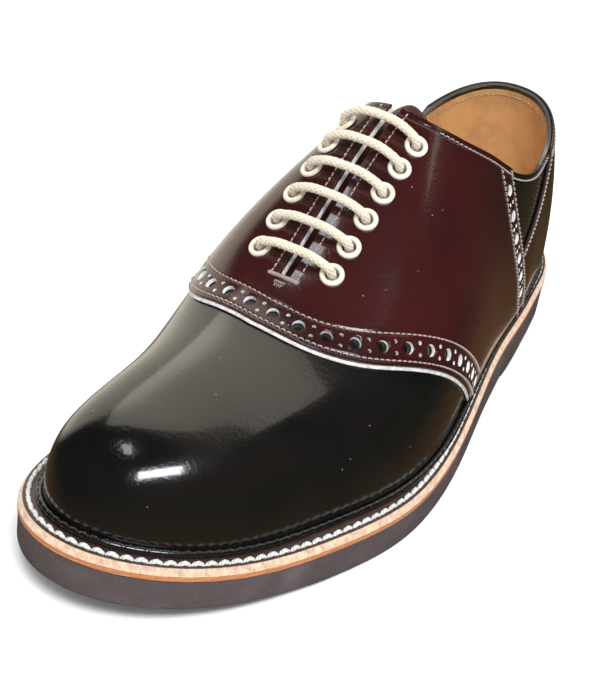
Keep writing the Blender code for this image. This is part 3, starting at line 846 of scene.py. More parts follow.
def new_tree(name, kind, inputs, outputs):
    """Node tree with named sockets; returns it with its input and output nodes."""
    tree = bpy.data.node_groups.new(name, kind)
    for label, socket, value in inputs:
        item = tree.interface.new_socket(label, in_out="INPUT", socket_type=socket)
        if value is not None:
            item.default_value = value
    for label, socket in outputs:
        tree.interface.new_socket(label, in_out="OUTPUT", socket_type=socket)
    return tree, tree.nodes.new("NodeGroupInput"), tree.nodes.new("NodeGroupOutput")


def named_vector(tree, name):
    made = add_node(
        tree, "GeometryNodeInputNamedAttribute", {"data_type": "FLOAT_VECTOR"}, Name=name)
    return made.outputs[0]


def thread_tree():
    """Stitches along a line: arched lengths of thread, each sunk into the leather at both ends."""
    name = "stitch_row"
    if name in bpy.data.node_groups:
        return bpy.data.node_groups[name]
    tree, given, result = new_tree(
        name, "GeometryNodeTree",
        [("Geometry", "NodeSocketGeometry", None), ("Pitch", "NodeSocketFloat", 0.002),
         ("Length", "NodeSocketFloat", 0.0017), ("Thickness", "NodeSocketFloat", 0.0005),
         ("Rise", "NodeSocketFloat", 0.0003), ("Turn", "NodeSocketFloat", 0.0),
         ("Thread", "NodeSocketMaterial", None)],
        [("Geometry", "NodeSocketGeometry")])
    line = add_node(tree, "GeometryNodeMeshToCurve", Mesh=given.outputs["Geometry"])
    dots = add_node(tree, "GeometryNodeResampleCurve", {"mode": "LENGTH"},
                    Curve=line.outputs[0], Length=given.outputs["Pitch"])
    tangent = tree.nodes.new("GeometryNodeInputTangent").outputs[0]
    axes = add_node(tree, "FunctionNodeAxesToRotation", {"primary_axis": "Z", "secondary_axis": "X"})
    tree.links.new(named_vector(tree, "out"), axes.inputs[0])
    tree.links.new(tangent, axes.inputs[1])
    wobble = add_node(tree, "FunctionNodeRandomValue", {"data_type": "FLOAT"}, Seed=7)
    wobble.inputs[2].default_value = -0.10
    wobble.inputs[3].default_value = 0.10
    turned = calc(tree, "ADD", wobble.outputs[1], given.outputs["Turn"])
    spin = add_node(tree, "ShaderNodeCombineXYZ", Z=turned)
    by = add_node(tree, "FunctionNodeEulerToRotation", Euler=spin.outputs[0])
    rotation = add_node(tree, "FunctionNodeRotateRotation", {"rotation_space": "LOCAL"},
                        Rotation=axes.outputs[0], Rotate_By=by.outputs[0])
    ends = []
    for share in (-0.5, 0.5):
        x = calc(tree, "MULTIPLY", given.outputs["Length"], share)
        sink = calc(tree, "MULTIPLY", given.outputs["Thickness"], -0.6)
        ends.append(add_node(tree, "ShaderNodeCombineXYZ", X=x, Z=sink).outputs[0])
    top = add_node(tree, "ShaderNodeMath", {"operation": "MULTIPLY_ADD"})
    tree.links.new(given.outputs["Rise"], top.inputs[0])
    top.inputs[1].default_value = 2.0
    tree.links.new(given.outputs["Thickness"], top.inputs[2])
    crest = add_node(tree, "ShaderNodeCombineXYZ", Z=top.outputs[0])
    arch = add_node(tree, "GeometryNodeCurveQuadraticBezier", Resolution=7, Start=ends[0],
                    Middle=crest.outputs[0], End=ends[1])
    radius = calc(tree, "MULTIPLY", given.outputs["Thickness"], 0.5)
    ring = add_node(tree, "GeometryNodeCurvePrimitiveCircle", Resolution=6, Radius=radius)
    part = tree.nodes.new("GeometryNodeSplineParameter").outputs["Factor"]
    marked = []
    for curve, label in ((arch, "thread_along"), (ring, "thread_round")):
        store = add_node(tree, "GeometryNodeStoreNamedAttribute", {"data_type": "FLOAT", "domain": "POINT"},
                         Geometry=curve.outputs[0], Name=label, Value=part)
        marked.append(store.outputs[0])
    stitch = add_node(tree, "GeometryNodeCurveToMesh", Curve=marked[0],
                      Profile_Curve=marked[1], Fill_Caps=True)
    stitches = add_node(tree, "GeometryNodeInstanceOnPoints", Points=dots.outputs[0],
                        Instance=stitch.outputs[0], Rotation=rotation.outputs[0])
    close_tree(tree, stitches.outputs[0], given.outputs["Thread"], result)
    return tree


def close_tree(tree, geometry, material, result):
    """Every tree ends in real meshes, smooth and with their material."""
    real = add_node(tree, "GeometryNodeRealizeInstances", Geometry=geometry)
    smooth = add_node(tree, "GeometryNodeSetShadeSmooth", Geometry=real.outputs[0])
    dressed = add_node(tree, "GeometryNodeSetMaterial", Geometry=smooth.outputs[0], Material=material)
    tree.links.new(dressed.outputs[0], result.inputs[0])


def pattern_tree():
    """A turned shape set on each point, upright on the leather: eyelets and punches."""
    name = "set_on_points"
    if name in bpy.data.node_groups:
        return bpy.data.node_groups[name]
    tree, given, result = new_tree(
        name, "GeometryNodeTree",
        [("Geometry", "NodeSocketGeometry", None), ("Pattern", "NodeSocketObject", None),
         ("Finish", "NodeSocketMaterial", None)],
        [("Geometry", "NodeSocketGeometry")])
    shape = add_node(tree, "GeometryNodeObjectInfo", {"transform_space": "ORIGINAL"},
                     Object=given.outputs["Pattern"])
    axes = add_node(tree, "FunctionNodeAxesToRotation", {"primary_axis": "Z", "secondary_axis": "X"})
    tree.links.new(named_vector(tree, "out"), axes.inputs[0])
    tree.links.new(named_vector(tree, "along"), axes.inputs[1])
    copies = add_node(tree, "GeometryNodeInstanceOnPoints", Points=given.outputs["Geometry"],
                      Instance=shape.outputs["Geometry"], Rotation=axes.outputs[0])
    close_tree(tree, copies.outputs[0], given.outputs["Finish"], result)
    return tree


def bead_tree():
    """A round bead along a line."""
    name = "bead"
    if name in bpy.data.node_groups:
        return bpy.data.node_groups[name]
    tree, given, result = new_tree(
        name, "GeometryNodeTree",
        [("Geometry", "NodeSocketGeometry", None), ("Thickness", "NodeSocketFloat", 0.002),
         ("Sides", "NodeSocketInt", 12), ("Finish", "NodeSocketMaterial", None)],
        [("Geometry", "NodeSocketGeometry")])
    line = add_node(tree, "GeometryNodeMeshToCurve", Mesh=given.outputs["Geometry"])
    radius = calc(tree, "MULTIPLY", given.outputs["Thickness"], 0.5)
    ring = add_node(tree, "GeometryNodeCurvePrimitiveCircle",
                    Resolution=given.outputs["Sides"], Radius=radius)
    body = add_node(tree, "GeometryNodeCurveToMesh", Curve=line.outputs[0], Profile_Curve=ring.outputs[0],
                    Fill_Caps=True)
    close_tree(tree, body.outputs[0], given.outputs["Finish"], result)
    return tree


def dotted(points, outs, alongs=None, lined=True, closed=False):
    """Scratch mesh of points with the directions that the trees read."""
    mesh = bpy.data.meshes.new("dots")
    count = len(points)
    edges = [(i, i + 1) for i in range(count - 1)] if lined else []
    if closed:
        edges.append((count - 1, 0))
    mesh.from_pydata([tuple(p) for p in placed(points)], edges, [])
    for label, values in (("out", outs), ("along", alongs)):
        if values is not None:
            layer = mesh.attributes.new(label, "FLOAT_VECTOR", "POINT")
            layer.data.foreach_set("vector", np.asarray(values, np.float32).ravel())
    return linked("dots", mesh)


def evaluated_mesh(obj):
    """Mesh of the object with its modifiers worked out."""
    graph = bpy.context.evaluated_depsgraph_get()
    return bpy.data.meshes.new_from_object(
        obj.evaluated_get(graph), preserve_all_data_layers=True, depsgraph=graph)


def grown(name, tree, source, **values):
    """Plain object that a tree makes from a scratch mesh, which goes."""
    modifier = source.modifiers.new("grow", "NODES")
    modifier.node_group = tree
    for item in tree.interface.items_tree:
        if item.in_out == "INPUT" and item.name in values:
            modifier[item.identifier] = values[item.name]
    mesh = evaluated_mesh(source)
    mesh.name = name
    bpy.data.objects.remove(source)
    return linked(name, mesh)


def joined(name, parts):
    """Several plain objects as one piece."""
    keep = parts[0]
    if len(parts) > 1:
        with bpy.context.temp_override(active_object=keep, selected_editable_objects=parts, object=keep):
            bpy.ops.object.join()
    keep.name = name
    keep.data.name = name
    return keep


# Shader nodes

def calc(tree, operation, a, b=0.0):
    made = add_node(tree, "ShaderNodeMath", {"operation": operation})
    feed(tree, made.inputs[0], a)
    feed(tree, made.inputs[1], b)
    return made.outputs[0]


def blend_colour(tree, share, a, b):
    made = add_node(tree, "ShaderNodeMix", {"data_type": "RGBA"})
    feed(tree, made.inputs[0], share)
    feed(tree, made.inputs[6], a)
    feed(tree, made.inputs[7], b)
    return made.outputs[2]


def spread(tree, value, low, high, to_low=0.0, to_high=1.0):
    made = add_node(tree, "ShaderNodeMapRange", {"interpolation_type": "SMOOTHSTEP"},
                    Value=value, From_Min=low, From_Max=high, To_Min=to_low, To_Max=to_high)
    return made.outputs[0]


def noise(tree, vector, scale, detail=3.0, rough=0.55):
    made = add_node(tree, "ShaderNodeTexNoise", Vector=vector, Scale=scale,
                    Detail=detail, Roughness=rough)
    return made.outputs[0]


def toned(colour, *shares):
    """The colour times one share, or times one each for red, green and blue."""
    shares = shares * 3 if len(shares) == 1 else shares
    return (*(min(1.0, c * share) for c, share in zip(colour, shares)), 1)


def number(tree, name):
    return add_node(tree, "ShaderNodeAttribute", {"attribute_name": name}).outputs["Fac"]


def shader_group(name, inputs, outputs):
    return new_tree(
        name, "ShaderNodeTree",
        [(label, "NodeSocketVector" if label == "Vector" else "NodeSocketFloat", value)
         for label, value in inputs],
        [(label, "NodeSocketFloat") for label in outputs])


def grain_group():
    """Pores and soft lasting waves of polished leather."""
    name = "polished_grain"
    if name in bpy.data.node_groups:
        return bpy.data.node_groups[name]
    tree, given, result = shader_group(
        name, [("Vector", None), ("Pore scale", 2400.0), ("Pore depth", 0.3), ("Wave scale", 70.0)],
        ["Height", "Cloud"])
    vector = given.outputs["Vector"]
    pores = add_node(tree, "ShaderNodeTexVoronoi", {"feature": "SMOOTH_F1"}, Vector=vector,
                     Scale=given.outputs["Pore scale"], Smoothness=0.6)
    fine = noise(tree, vector, given.outputs["Pore scale"], 2.0)
    wave = noise(tree, vector, given.outputs["Wave scale"], 2.0, 0.4)
    pore = calc(tree, "MULTIPLY", calc(tree, "ADD", pores.outputs[0], fine), given.outputs["Pore depth"])
    peel = calc(tree, "MULTIPLY", noise(tree, vector, 780.0, 2.0), 0.7)
    tree.links.new(calc(tree, "ADD", calc(tree, "ADD", pore, peel), wave), result.inputs["Height"])
    tree.links.new(spread(tree, noise(tree, vector, 22.0, 4.0), 0.35, 0.7), result.inputs["Cloud"])
    return tree


def dust_group():
    """Sparse specks of dust."""
    name = "dust_specks"
    if name in bpy.data.node_groups:
        return bpy.data.node_groups[name]
    tree, given, result = shader_group(name, [("Vector", None), ("Cells", 230.0), ("Speck", 0.05)], ["Mask"])
    bent = noise(tree, given.outputs["Vector"], 1500.0, 2.0)
    cells = add_node(tree, "ShaderNodeTexVoronoi", Vector=given.outputs["Vector"],
                     Scale=given.outputs["Cells"])
    reach = calc(tree, "MULTIPLY", given.outputs["Speck"], calc(tree, "ADD", bent, 0.3))
    speck = calc(tree, "LESS_THAN", cells.outputs["Distance"], reach)
    chance = add_node(tree, "ShaderNodeSeparateColor", Color=cells.outputs["Color"]).outputs[0]
    chosen = calc(tree, "GREATER_THAN", chance, 0.62)
    tree.links.new(calc(tree, "MULTIPLY", speck, chosen), result.inputs["Mask"])
    return tree


def fibre_group():
    """Fuzz of a cut leather edge or of bare cotton, with a painted shade that is low where the fuzz is low.
    """
    name = "loose_fibre"
    if name in bpy.data.node_groups:
        return bpy.data.node_groups[name]
    tree, given, result = shader_group(name, [("Vector", None), ("Scale", 1800.0)], ["Height", "Shade"])
    rough = noise(tree, given.outputs["Vector"], given.outputs["Scale"], 5.0, 0.7)
    broad = noise(tree, given.outputs["Vector"], 420.0, 3.0)
    tree.links.new(calc(tree, "ADD", rough, calc(tree, "MULTIPLY", broad, 0.6)), result.inputs["Height"])
    # Shade follows the height of the fuzz: painted shade in its low parts, painted light on its raised parts
    tree.links.new(spread(tree, calc(tree, "ADD", rough, broad), 0.75, 1.25), result.inputs["Shade"])
    return tree


def place_group(tree, group, vector, **inputs):
    made = add_node(tree, "ShaderNodeGroup", {"node_tree": group}, Vector=vector)
    for key, value in inputs.items():
        made.inputs[key.replace("_", " ")].default_value = value
    return made.outputs


def bump(tree, height, distance, strength=1.0):
    return add_node(tree, "ShaderNodeBump", Height=height, Distance=distance, Strength=strength).outputs[0]


def new_material(name, rough, **fixed):
    """Empty finish with its shader; the constants go straight on the shader's sockets."""
    made = bpy.data.materials.new(name)
    made.use_nodes = True
    tree = made.node_tree
    shader = tree.nodes["Principled BSDF"]
    shader.inputs["Roughness"].default_value = rough
    for key, value in fixed.items():
        shader.inputs[key.replace("_", " ")].default_value = value
    vector = tree.nodes.new("ShaderNodeTexCoord").outputs["Object"]
    return made, tree, shader, vector


def once(make):
    """Keep one copy of each finish."""
    kept = {}

    def given(*words):
        if words not in kept:
            kept[words] = make(*words)
        return kept[words]

    return given


@once
def black_leather():
    made, tree, shader, vector = new_material(
        "black_polished_leather", 0.2, Coat_Weight=0.7, Coat_Roughness=0.07, Coat_IOR=1.5)
    black = tuple(colours().black)
    grain = place_group(tree, grain_group(), vector, Pore_depth=0.10, Wave_scale=60.0)
    dust = place_group(tree, dust_group(), vector)["Mask"]
    brown = toned(black, 2.2, 1.7, 1.3)
    colour = blend_colour(tree, grain["Cloud"], black, brown)
    feed(tree, shader.inputs["Base Color"], blend_colour(tree, dust, colour, (0.30, 0.28, 0.25, 1)))
    rough = spread(tree, grain["Cloud"], 0.0, 1.0, 0.15, 0.21)
    feed(tree, shader.inputs["Roughness"], calc(tree, "MAXIMUM", rough, calc(tree, "MULTIPLY", dust, 0.8)))
    feed(tree, shader.inputs["Normal"], bump(tree, grain["Height"], 0.00016, 0.6))
    return made


@once
def oxblood_leather():
    made, tree, shader, vector = new_material(
        "oxblood_polished_leather", 0.2, Coat_Weight=0.7, Coat_Roughness=0.06, Coat_IOR=1.5)
    red = tuple(colours().oxblood)
    grain = place_group(tree, grain_group(), vector, Pore_depth=0.10, Wave_scale=55.0)
    dust = place_group(tree, dust_group(), vector, Cells=210.0)["Mask"]
    dark = toned(red, 0.55, 0.6, 0.6)
    colour = blend_colour(tree, grain["Cloud"], red, dark)
    burnt = spread(tree, number(tree, "edge_away"), 0.0, 9.0, 0.55, 0.0)
    colour = blend_colour(tree, burnt, colour, toned(red, 0.35, 0.5, 0.5))
    feed(tree, shader.inputs["Base Color"], blend_colour(tree, dust, colour, (0.34, 0.28, 0.25, 1)))
    rough = spread(tree, grain["Cloud"], 0.0, 1.0, 0.13, 0.20)
    feed(tree, shader.inputs["Roughness"], calc(tree, "MAXIMUM", rough, calc(tree, "MULTIPLY", dust, 0.8)))
    channels = 0.0
    for name, rows in (("front_away", FRONT_ROWS), ("rear_away", REAR_ROWS), ("top_away", (TOP_ROW,))):
        away = number(tree, name)
        for row in rows:
            off = calc(tree, "ABSOLUTE", calc(tree, "SUBTRACT", away, row))
            channels = calc(tree, "ADD", channels, spread(tree, off, 0.0, 1.1, 1.0, 0.0))
    sunk = calc(tree, "SUBTRACT", calc(tree, "MULTIPLY", grain["Height"], 0.5), channels)
    feed(tree, shader.inputs["Normal"], bump(tree, sunk, 0.00028, 0.6))
    return made


@once
def plain_leather(name, colour, rough):
    """Unpolished leather: lining, insole, tongue and painted edges."""
    made, tree, shader, vector = new_material(name, rough, Coat_Weight=0.08, Coat_Roughness=0.3)
    grain = place_group(tree, grain_group(), vector, Pore_scale=1500.0, Pore_depth=0.8, Wave_scale=120.0)
    stain = spread(tree, noise(tree, vector, 38.0, 5.0, 0.65), 0.38, 0.72)
    dark = toned(colour, 0.72)
    light = toned(colour, 1.12)
    tone = blend_colour(tree, stain, light, dark)
    fleck = spread(tree, noise(tree, vector, 900.0, 3.0), 0.62, 0.75, 0.0, 0.25)
    feed(tree, shader.inputs["Base Color"], blend_colour(tree, fleck, tone, dark))
    feed(tree, shader.inputs["Roughness"], spread(tree, stain, 0.0, 1.0, rough - 0.08, rough + 0.08))
    feed(tree, shader.inputs["Normal"], bump(tree, grain["Height"], 0.00012, 0.7))
    return made


@once
def cut_edge(name, colour):
    """Flesh side of leather, pale and fuzzy, with painted shade in the low parts of the fuzz."""
    made, tree, shader, vector = new_material(name, 0.9, Sheen_Weight=0.3, Sheen_Roughness=0.5)
    fibre = place_group(tree, fibre_group(), vector)
    dark = toned(colour, 0.62)
    light = toned(colour, 1.12)
    # Darker in the low parts of the fuzz and lighter on its raised parts: painted shade and painted light
    feed(tree, shader.inputs["Base Color"], blend_colour(tree, fibre["Shade"], dark, light))
    feed(tree, shader.inputs["Normal"], bump(tree, fibre["Height"], 0.0004, 0.9))
    return made


@once
def thread(name, colour, turns):
    """Twisted sewing thread, with painted shade in the grooves between its plies."""
    made, tree, shader, vector = new_material(name, 0.7, Sheen_Weight=0.25, Sheen_Roughness=0.4)
    lay = calc(tree, "ADD", calc(tree, "MULTIPLY", number(tree, "thread_along"), turns),
               calc(tree, "MULTIPLY", number(tree, "thread_round"), 2.0))
    ply = calc(tree, "ABSOLUTE", calc(tree, "SINE", calc(tree, "MULTIPLY", lay, math.pi)))
    dirt = spread(tree, noise(tree, vector, 160.0, 3.0), 0.4, 0.7)
    dark = toned(colour, 0.5)
    worn = toned(colour, 0.8)
    tone = blend_colour(tree, dirt, tuple(colour), worn)
    # Darker in the grooves between the plies: painted shade
    feed(tree, shader.inputs["Base Color"], blend_colour(tree, spread(tree, ply, 0.0, 0.5), dark, tone))
    feed(tree, shader.inputs["Normal"], bump(tree, ply, 0.00025, 0.8))
    return made


@once
def cotton():
    """Waxed cotton strands of the lace, with painted shade in the grooves between strands and in the low
    parts of the fuzz.
    """
    made, tree, shader, vector = new_material(
        "waxed_cotton", 0.62, Sheen_Weight=0.2, Coat_Weight=0.12, Coat_Roughness=0.35)
    colour = tuple(colours().cotton)
    lay = calc(tree, "ADD", calc(tree, "MULTIPLY", number(tree, "strand_along"), 1.6),
               calc(tree, "MULTIPLY", number(tree, "strand_round"), 5.0))
    ply = calc(tree, "ABSOLUTE", calc(tree, "SINE", calc(tree, "MULTIPLY", lay, math.pi)))
    fibre = place_group(tree, fibre_group(), vector, Scale=2600.0)
    dark = toned(colour, 0.72)
    cream = toned(colour, 1.08, 1.05, 0.98)
    tone = blend_colour(tree, spread(tree, noise(tree, vector, 90.0, 3.0), 0.35, 0.7), cream, colour)
    # Darker in the grooves between the strands: painted shade
    tone = blend_colour(tree, spread(tree, ply, 0.0, 0.6, 0.5, 0.0), tone, dark)
    shadow = spread(tree, fibre["Shade"], 0.2, 0.8, 0.25, 0.0)
    feed(tree, shader.inputs["Base Color"], blend_colour(tree, shadow, tone, dark))
    height = calc(tree, "ADD", calc(tree, "MULTIPLY", ply, 0.7), calc(tree, "MULTIPLY", fibre["Height"], 0.5))
    feed(tree, shader.inputs["Normal"], bump(tree, height, 0.00012, 0.8))
    return made


@once
def enamel():
    made, tree, shader, vector = new_material("ivory_enamel", 0.28, Coat_Weight=0.6, Coat_Roughness=0.12)
    colour = tuple(colours().enamel)
    cloud = spread(tree, noise(tree, vector, 260.0, 3.0), 0.35, 0.75)
    worn = toned(colour, 0.9, 0.86, 0.8)
    feed(tree, shader.inputs["Base Color"], blend_colour(tree, cloud, colour, worn))
    feed(tree, shader.inputs["Roughness"], spread(tree, cloud, 0.0, 1.0, 0.24, 0.36))
    feed(tree, shader.inputs["Normal"], bump(tree, noise(tree, vector, 700.0, 2.0), 0.00008, 0.4))
    return made


@once
def rubber(name, shade):
    """Matte moulded rubber with fine speckle and dusty smears."""
    made, tree, shader, vector = new_material(name, 0.72)
    colour = toned(colours().rubber, shade)
    smear = spread(tree, noise(tree, vector, 55.0, 5.0, 0.65), 0.45, 0.75)
    pale = toned(colour, 1.35, 1.38, 1.4)
    dark = toned(colour, 0.75)
    tone = blend_colour(tree, spread(tree, noise(tree, vector, 1300.0, 3.0), 0.35, 0.7), dark, colour)
    dusty = calc(tree, "MULTIPLY", smear, 0.55)
    feed(tree, shader.inputs["Base Color"], blend_colour(tree, dusty, tone, pale))
    feed(tree, shader.inputs["Roughness"], spread(tree, smear, 0.0, 1.0, 0.62, 0.82))
    height = calc(tree, "ADD", noise(tree, vector, 1600.0, 4.0, 0.65),
                  calc(tree, "MULTIPLY", noise(tree, vector, 260.0, 3.0), 0.6))
    feed(tree, shader.inputs["Normal"], bump(tree, height, 0.00022, 0.7))
    return made


@once
def welt_leather():
    made, tree, shader, vector = new_material("brown_welt", 0.42, Coat_Weight=0.15, Coat_Roughness=0.25)
    colour = tuple(colours().welt)
    grain = place_group(tree, grain_group(), vector, Pore_scale=1300.0, Pore_depth=0.9, Wave_scale=160.0)
    worn = toned(colour, 2.4, 2.4, 2.3)
    wear = spread(tree, noise(tree, vector, 240.0, 4.0), 0.5, 0.8, 0.0, 0.6)
    feed(tree, shader.inputs["Base Color"], blend_colour(tree, wear, colour, worn))
    feed(tree, shader.inputs["Roughness"], spread(tree, wear, 0.0, 0.6, 0.38, 0.6))
    feed(tree, shader.inputs["Normal"], bump(tree, grain["Height"], 0.00022, 0.8))
    return made


@once
def welt_cut():
    """Cut side of the welt, in bands of two browns."""
    made, tree, shader, vector = new_material("welt_cut_side", 0.7)
    colour = tuple(colours().welt_side)
    fibre = place_group(tree, fibre_group(), vector, Scale=1400.0)
    height = add_node(tree, "ShaderNodeSeparateXYZ", Vector=vector).outputs["Z"]
    wavy = calc(tree, "ADD", height, calc(tree, "MULTIPLY", fibre["Shade"], 0.0003))
    band = calc(tree, "SINE", calc(tree, "MULTIPLY", wavy, 5200.0))
    warm = toned(colour, 0.85, 0.68, 0.55)
    tone = blend_colour(tree, spread(tree, band, -0.2, 0.6), warm, colour)
    shadow = spread(tree, fibre["Shade"], 0.0, 0.6, 0.45, 0.0)
    tone = blend_colour(tree, shadow, tone, toned(colour, 0.6))
    feed(tree, shader.inputs["Base Color"], tone)
    feed(tree, shader.inputs["Normal"], bump(tree, fibre["Height"], 0.0002, 0.7))
    return made


def thread_of(kind):
    given = {"upper": (colours().thread, 3.0), "welt": (colours().welt_thread, 4.0),
             "black": ((0.010, 0.010, 0.010, 1), 3.0), "tan": ((0.62, 0.42, 0.26, 1), 3.0)}[kind]
    return thread(f"{kind}_thread", tuple(given[0]), given[1])


# Pieces

KEPT = {}
REAR_RIB = QUARTER_RIBS
CORNER_RIB = REAR_RIB + CORNER_RIBS
SLIT_RIB = CORNER_RIB + SLIT_RIBS
FRONT_RIB = SLIT_RIB + 1 + FRONT_RIBS
SADDLE_OUT = GAP + SADDLE_WALL
COUNTER_OUT = GAP + COUNTER_WALL
TOP_ROWS = 2
EYELET_AIR = 0.1
PUNCH_UNDER = 7.0
PUNCH_OVER = 2.0
PUNCH_SIDES = 32


def all_ribs(side, climbs):
    return quarter_ribs(climbs) + saddle_ribs(side, climbs) + front_ribs(side, climbs)


def leather_skin():
    """The whole outer face of the upper, made once."""
    if "skin" not in KEPT:
        KEPT["skin"] = Skin(all_ribs)
    return KEPT["skin"]


def throat_place(side, s, away, out):
    """Point beside the throat: away is measured along the skin from the middle line."""
    turns = math.pi / 2 - side * np.linspace(0, 1.3, 120)
    line = last_point(s, turns)
    run = np.concatenate([[0.0], np.cumsum(np.linalg.norm(np.diff(line, axis=0), axis=1))])
    turn = float(np.interp(away, run, turns))
    return last_skin(s, turn, out)


def eyelet_shares():
    return np.linspace(EYELET_FIRST, EYELET_LAST, EYELET_PAIRS)


def eyelet_places():
    """Place, outward and lengthwise direction of each eyelet on the saddle."""
    places, outs, alongs = [], [], []
    for side in (1, -1):
        for s in eyelet_shares():
            place = throat_place(side, s, EYELET_OUT, SADDLE_OUT)
            outs.append(unit(throat_place(side, s, EYELET_OUT, SADDLE_OUT + 1) - place))
            alongs.append(unit(throat_place(side, s + 0.002, EYELET_OUT, SADDLE_OUT) - place))
            places.append(place)
    return np.array(places), np.array(outs), np.array(alongs)


def post(name, radius, low, high, sides, material):
    """Round post on its own axis, the pattern of a punch."""
    points, faces = [], []
    for height in (low, high):
        for k in range(sides):
            angle = 2 * math.pi * k / sides
            points.append((radius * math.cos(angle), radius * math.sin(angle), height))
    for k in range(sides):
        n = (k + 1) % sides
        faces.append((k, n, sides + n, sides + k))
    faces.append(tuple(range(sides))[::-1])
    faces.append(tuple(range(sides, 2 * sides)))
    mesh = bpy.data.meshes.new(name)
    mesh.from_pydata([tuple(c * MM for c in p) for p in points], [], faces)
    mesh.materials.append(material)
    return linked(name, mesh)


def punches(name, places, outs, alongs, radius, depth, sides, material):
    """Posts through the leather at the given places."""
    pattern = post("punch", radius, -depth, PUNCH_OVER, sides, material)
    dots = dotted(places, outs, alongs, lined=False)
    made = grown(name, pattern_tree(), dots, Pattern=pattern, Finish=material)
    bpy.data.objects.remove(pattern)
    return made


def punched(obj, cutter, crossed=False):
    """The piece with holes cut by the posts, keeping the shading of its smooth faces.

    crossed is for a piece whose own faces cross each other somewhere.
    """
    name = obj.name
    hole = obj.modifiers.new("holes", "BOOLEAN")
    hole.operation = "DIFFERENCE"
    hole.solver = "EXACT"
    hole.material_mode = "TRANSFER"
    hole.use_self = crossed
    hole.object = cutter
    whole = linked("whole", obj.data.copy())
    shade = obj.modifiers.new("shade", "DATA_TRANSFER")
    shade.object = whole
    shade.use_loop_data = True
    shade.data_types_loops = {"CUSTOM_NORMAL"}
    shade.loop_mapping = "POLYINTERP_NEAREST"
    mesh = evaluated_mesh(obj)
    wall = mesh.materials.find(cutter.data.materials[0].name)
    kept = {(face.index, mesh.loops[i].vertex_index): mesh.corner_normals[i].vector.copy()
            for face in mesh.polygons for i in face.loop_indices}
    if sum(face.area * face.normal.dot(face.center) for face in mesh.polygons) < 0:
        mesh.flip_normals()
    normals = [None] * len(mesh.loops)
    for face in mesh.polygons:
        for i in face.loop_indices:
            own = face.material_index == wall
            normals[i] = face.normal if own else kept[face.index, mesh.loops[i].vertex_index]
    mesh.normals_split_custom_set([tuple(v) for v in normals])
    for old in (whole, cutter, obj):
        bpy.data.objects.remove(old)
    mesh.name = name
    return linked(name, mesh)


def eyelet_punch(material):
    places, outs, alongs = eyelet_places()
    return punches("eyelet_posts", places, outs, alongs, EYELET_BARREL / 2 + EYELET_AIR,
                   PUNCH_UNDER, PUNCH_SIDES, material)


def dark_edge():
    return plain_leather("painted_edge", (0.014, 0.007, 0.006, 1), 0.4)


def flesh_side():
    return plain_leather("flesh_side", (0.16, 0.12, 0.10, 1), 0.8)


def raw_edge():
    return cut_edge("raw_edge", tuple(colours().raw))


def tan_leather():
    return plain_leather("tan_lining", tuple(colours().tan), 0.5)


def build_upper():
    skin = leather_skin()
    folded = (skin.row >= ROWS - TOP_ROWS) & (skin.rib <= SLIT_RIB)
    low = np.where(folded, -UPPER_WALL, -LEATHER)
    slots = [black_leather(), dark_edge(), black_leather(), raw_edge()]
    obj = leather_body(
        "upper_leather", skin, low, 0.0, slots,
        lambda rib, row: 3 if rib.min() >= CORNER_RIB and row.min() == ROWS else 0)
    finished(punched(obj, eyelet_punch(dark_edge())), "upper", slot="black_leather")


def build_lining():
    skin = leather_skin().part(lambda rib, row: rib.min() > SLIT_RIB or row.max() <= ROWS - TOP_ROWS)
    tan = tan_leather()
    slots = [tan, cut_edge("lining_edge", tuple(colours().tan)), tan]
    obj = leather_body("lining", skin, -UPPER_WALL, -LEATHER - LINING_GAP, slots)
    finished(punched(obj, eyelet_punch(dark_edge())), slot="tan_leather")


def build_counter():
    skin = Skin(lambda side, climbs: counter_ribs(climbs))
    slots = [black_leather(), dark_edge(), dark_edge()]
    obj = leather_body("counter_leather", skin, GAP, COUNTER_OUT, slots)
    finished(obj, "counter", slot="black_leather")


def hole_line(s, turn, pitch, first):
    """Centres of the large holes and of the pairs of small holes between them."""
    run = np.concatenate([[0.0], np.cumsum(np.linalg.norm(np.diff(last_point(s, turn), axis=0), axis=1))])
    count = int((run[-1] - pitch * first) / pitch)
    large = pitch * (first + np.arange(count))
    small = large[:-1] + pitch / 2
    return [(np.interp(at, run, s), np.interp(at, run, turn)) for at in (large, small)]


# Holes of a band: pitch against the front's, first hole as a share of it, small holes' offset
Holes = namedtuple("Holes", "stretch first apart")
FRONT_HOLES = Holes(1.0, 0.5, 1.9)
REAR_HOLES = Holes(1.12, 0.62, 1.2)
HOLE_WALL = (0.88, 0.86, 0.86, 1)


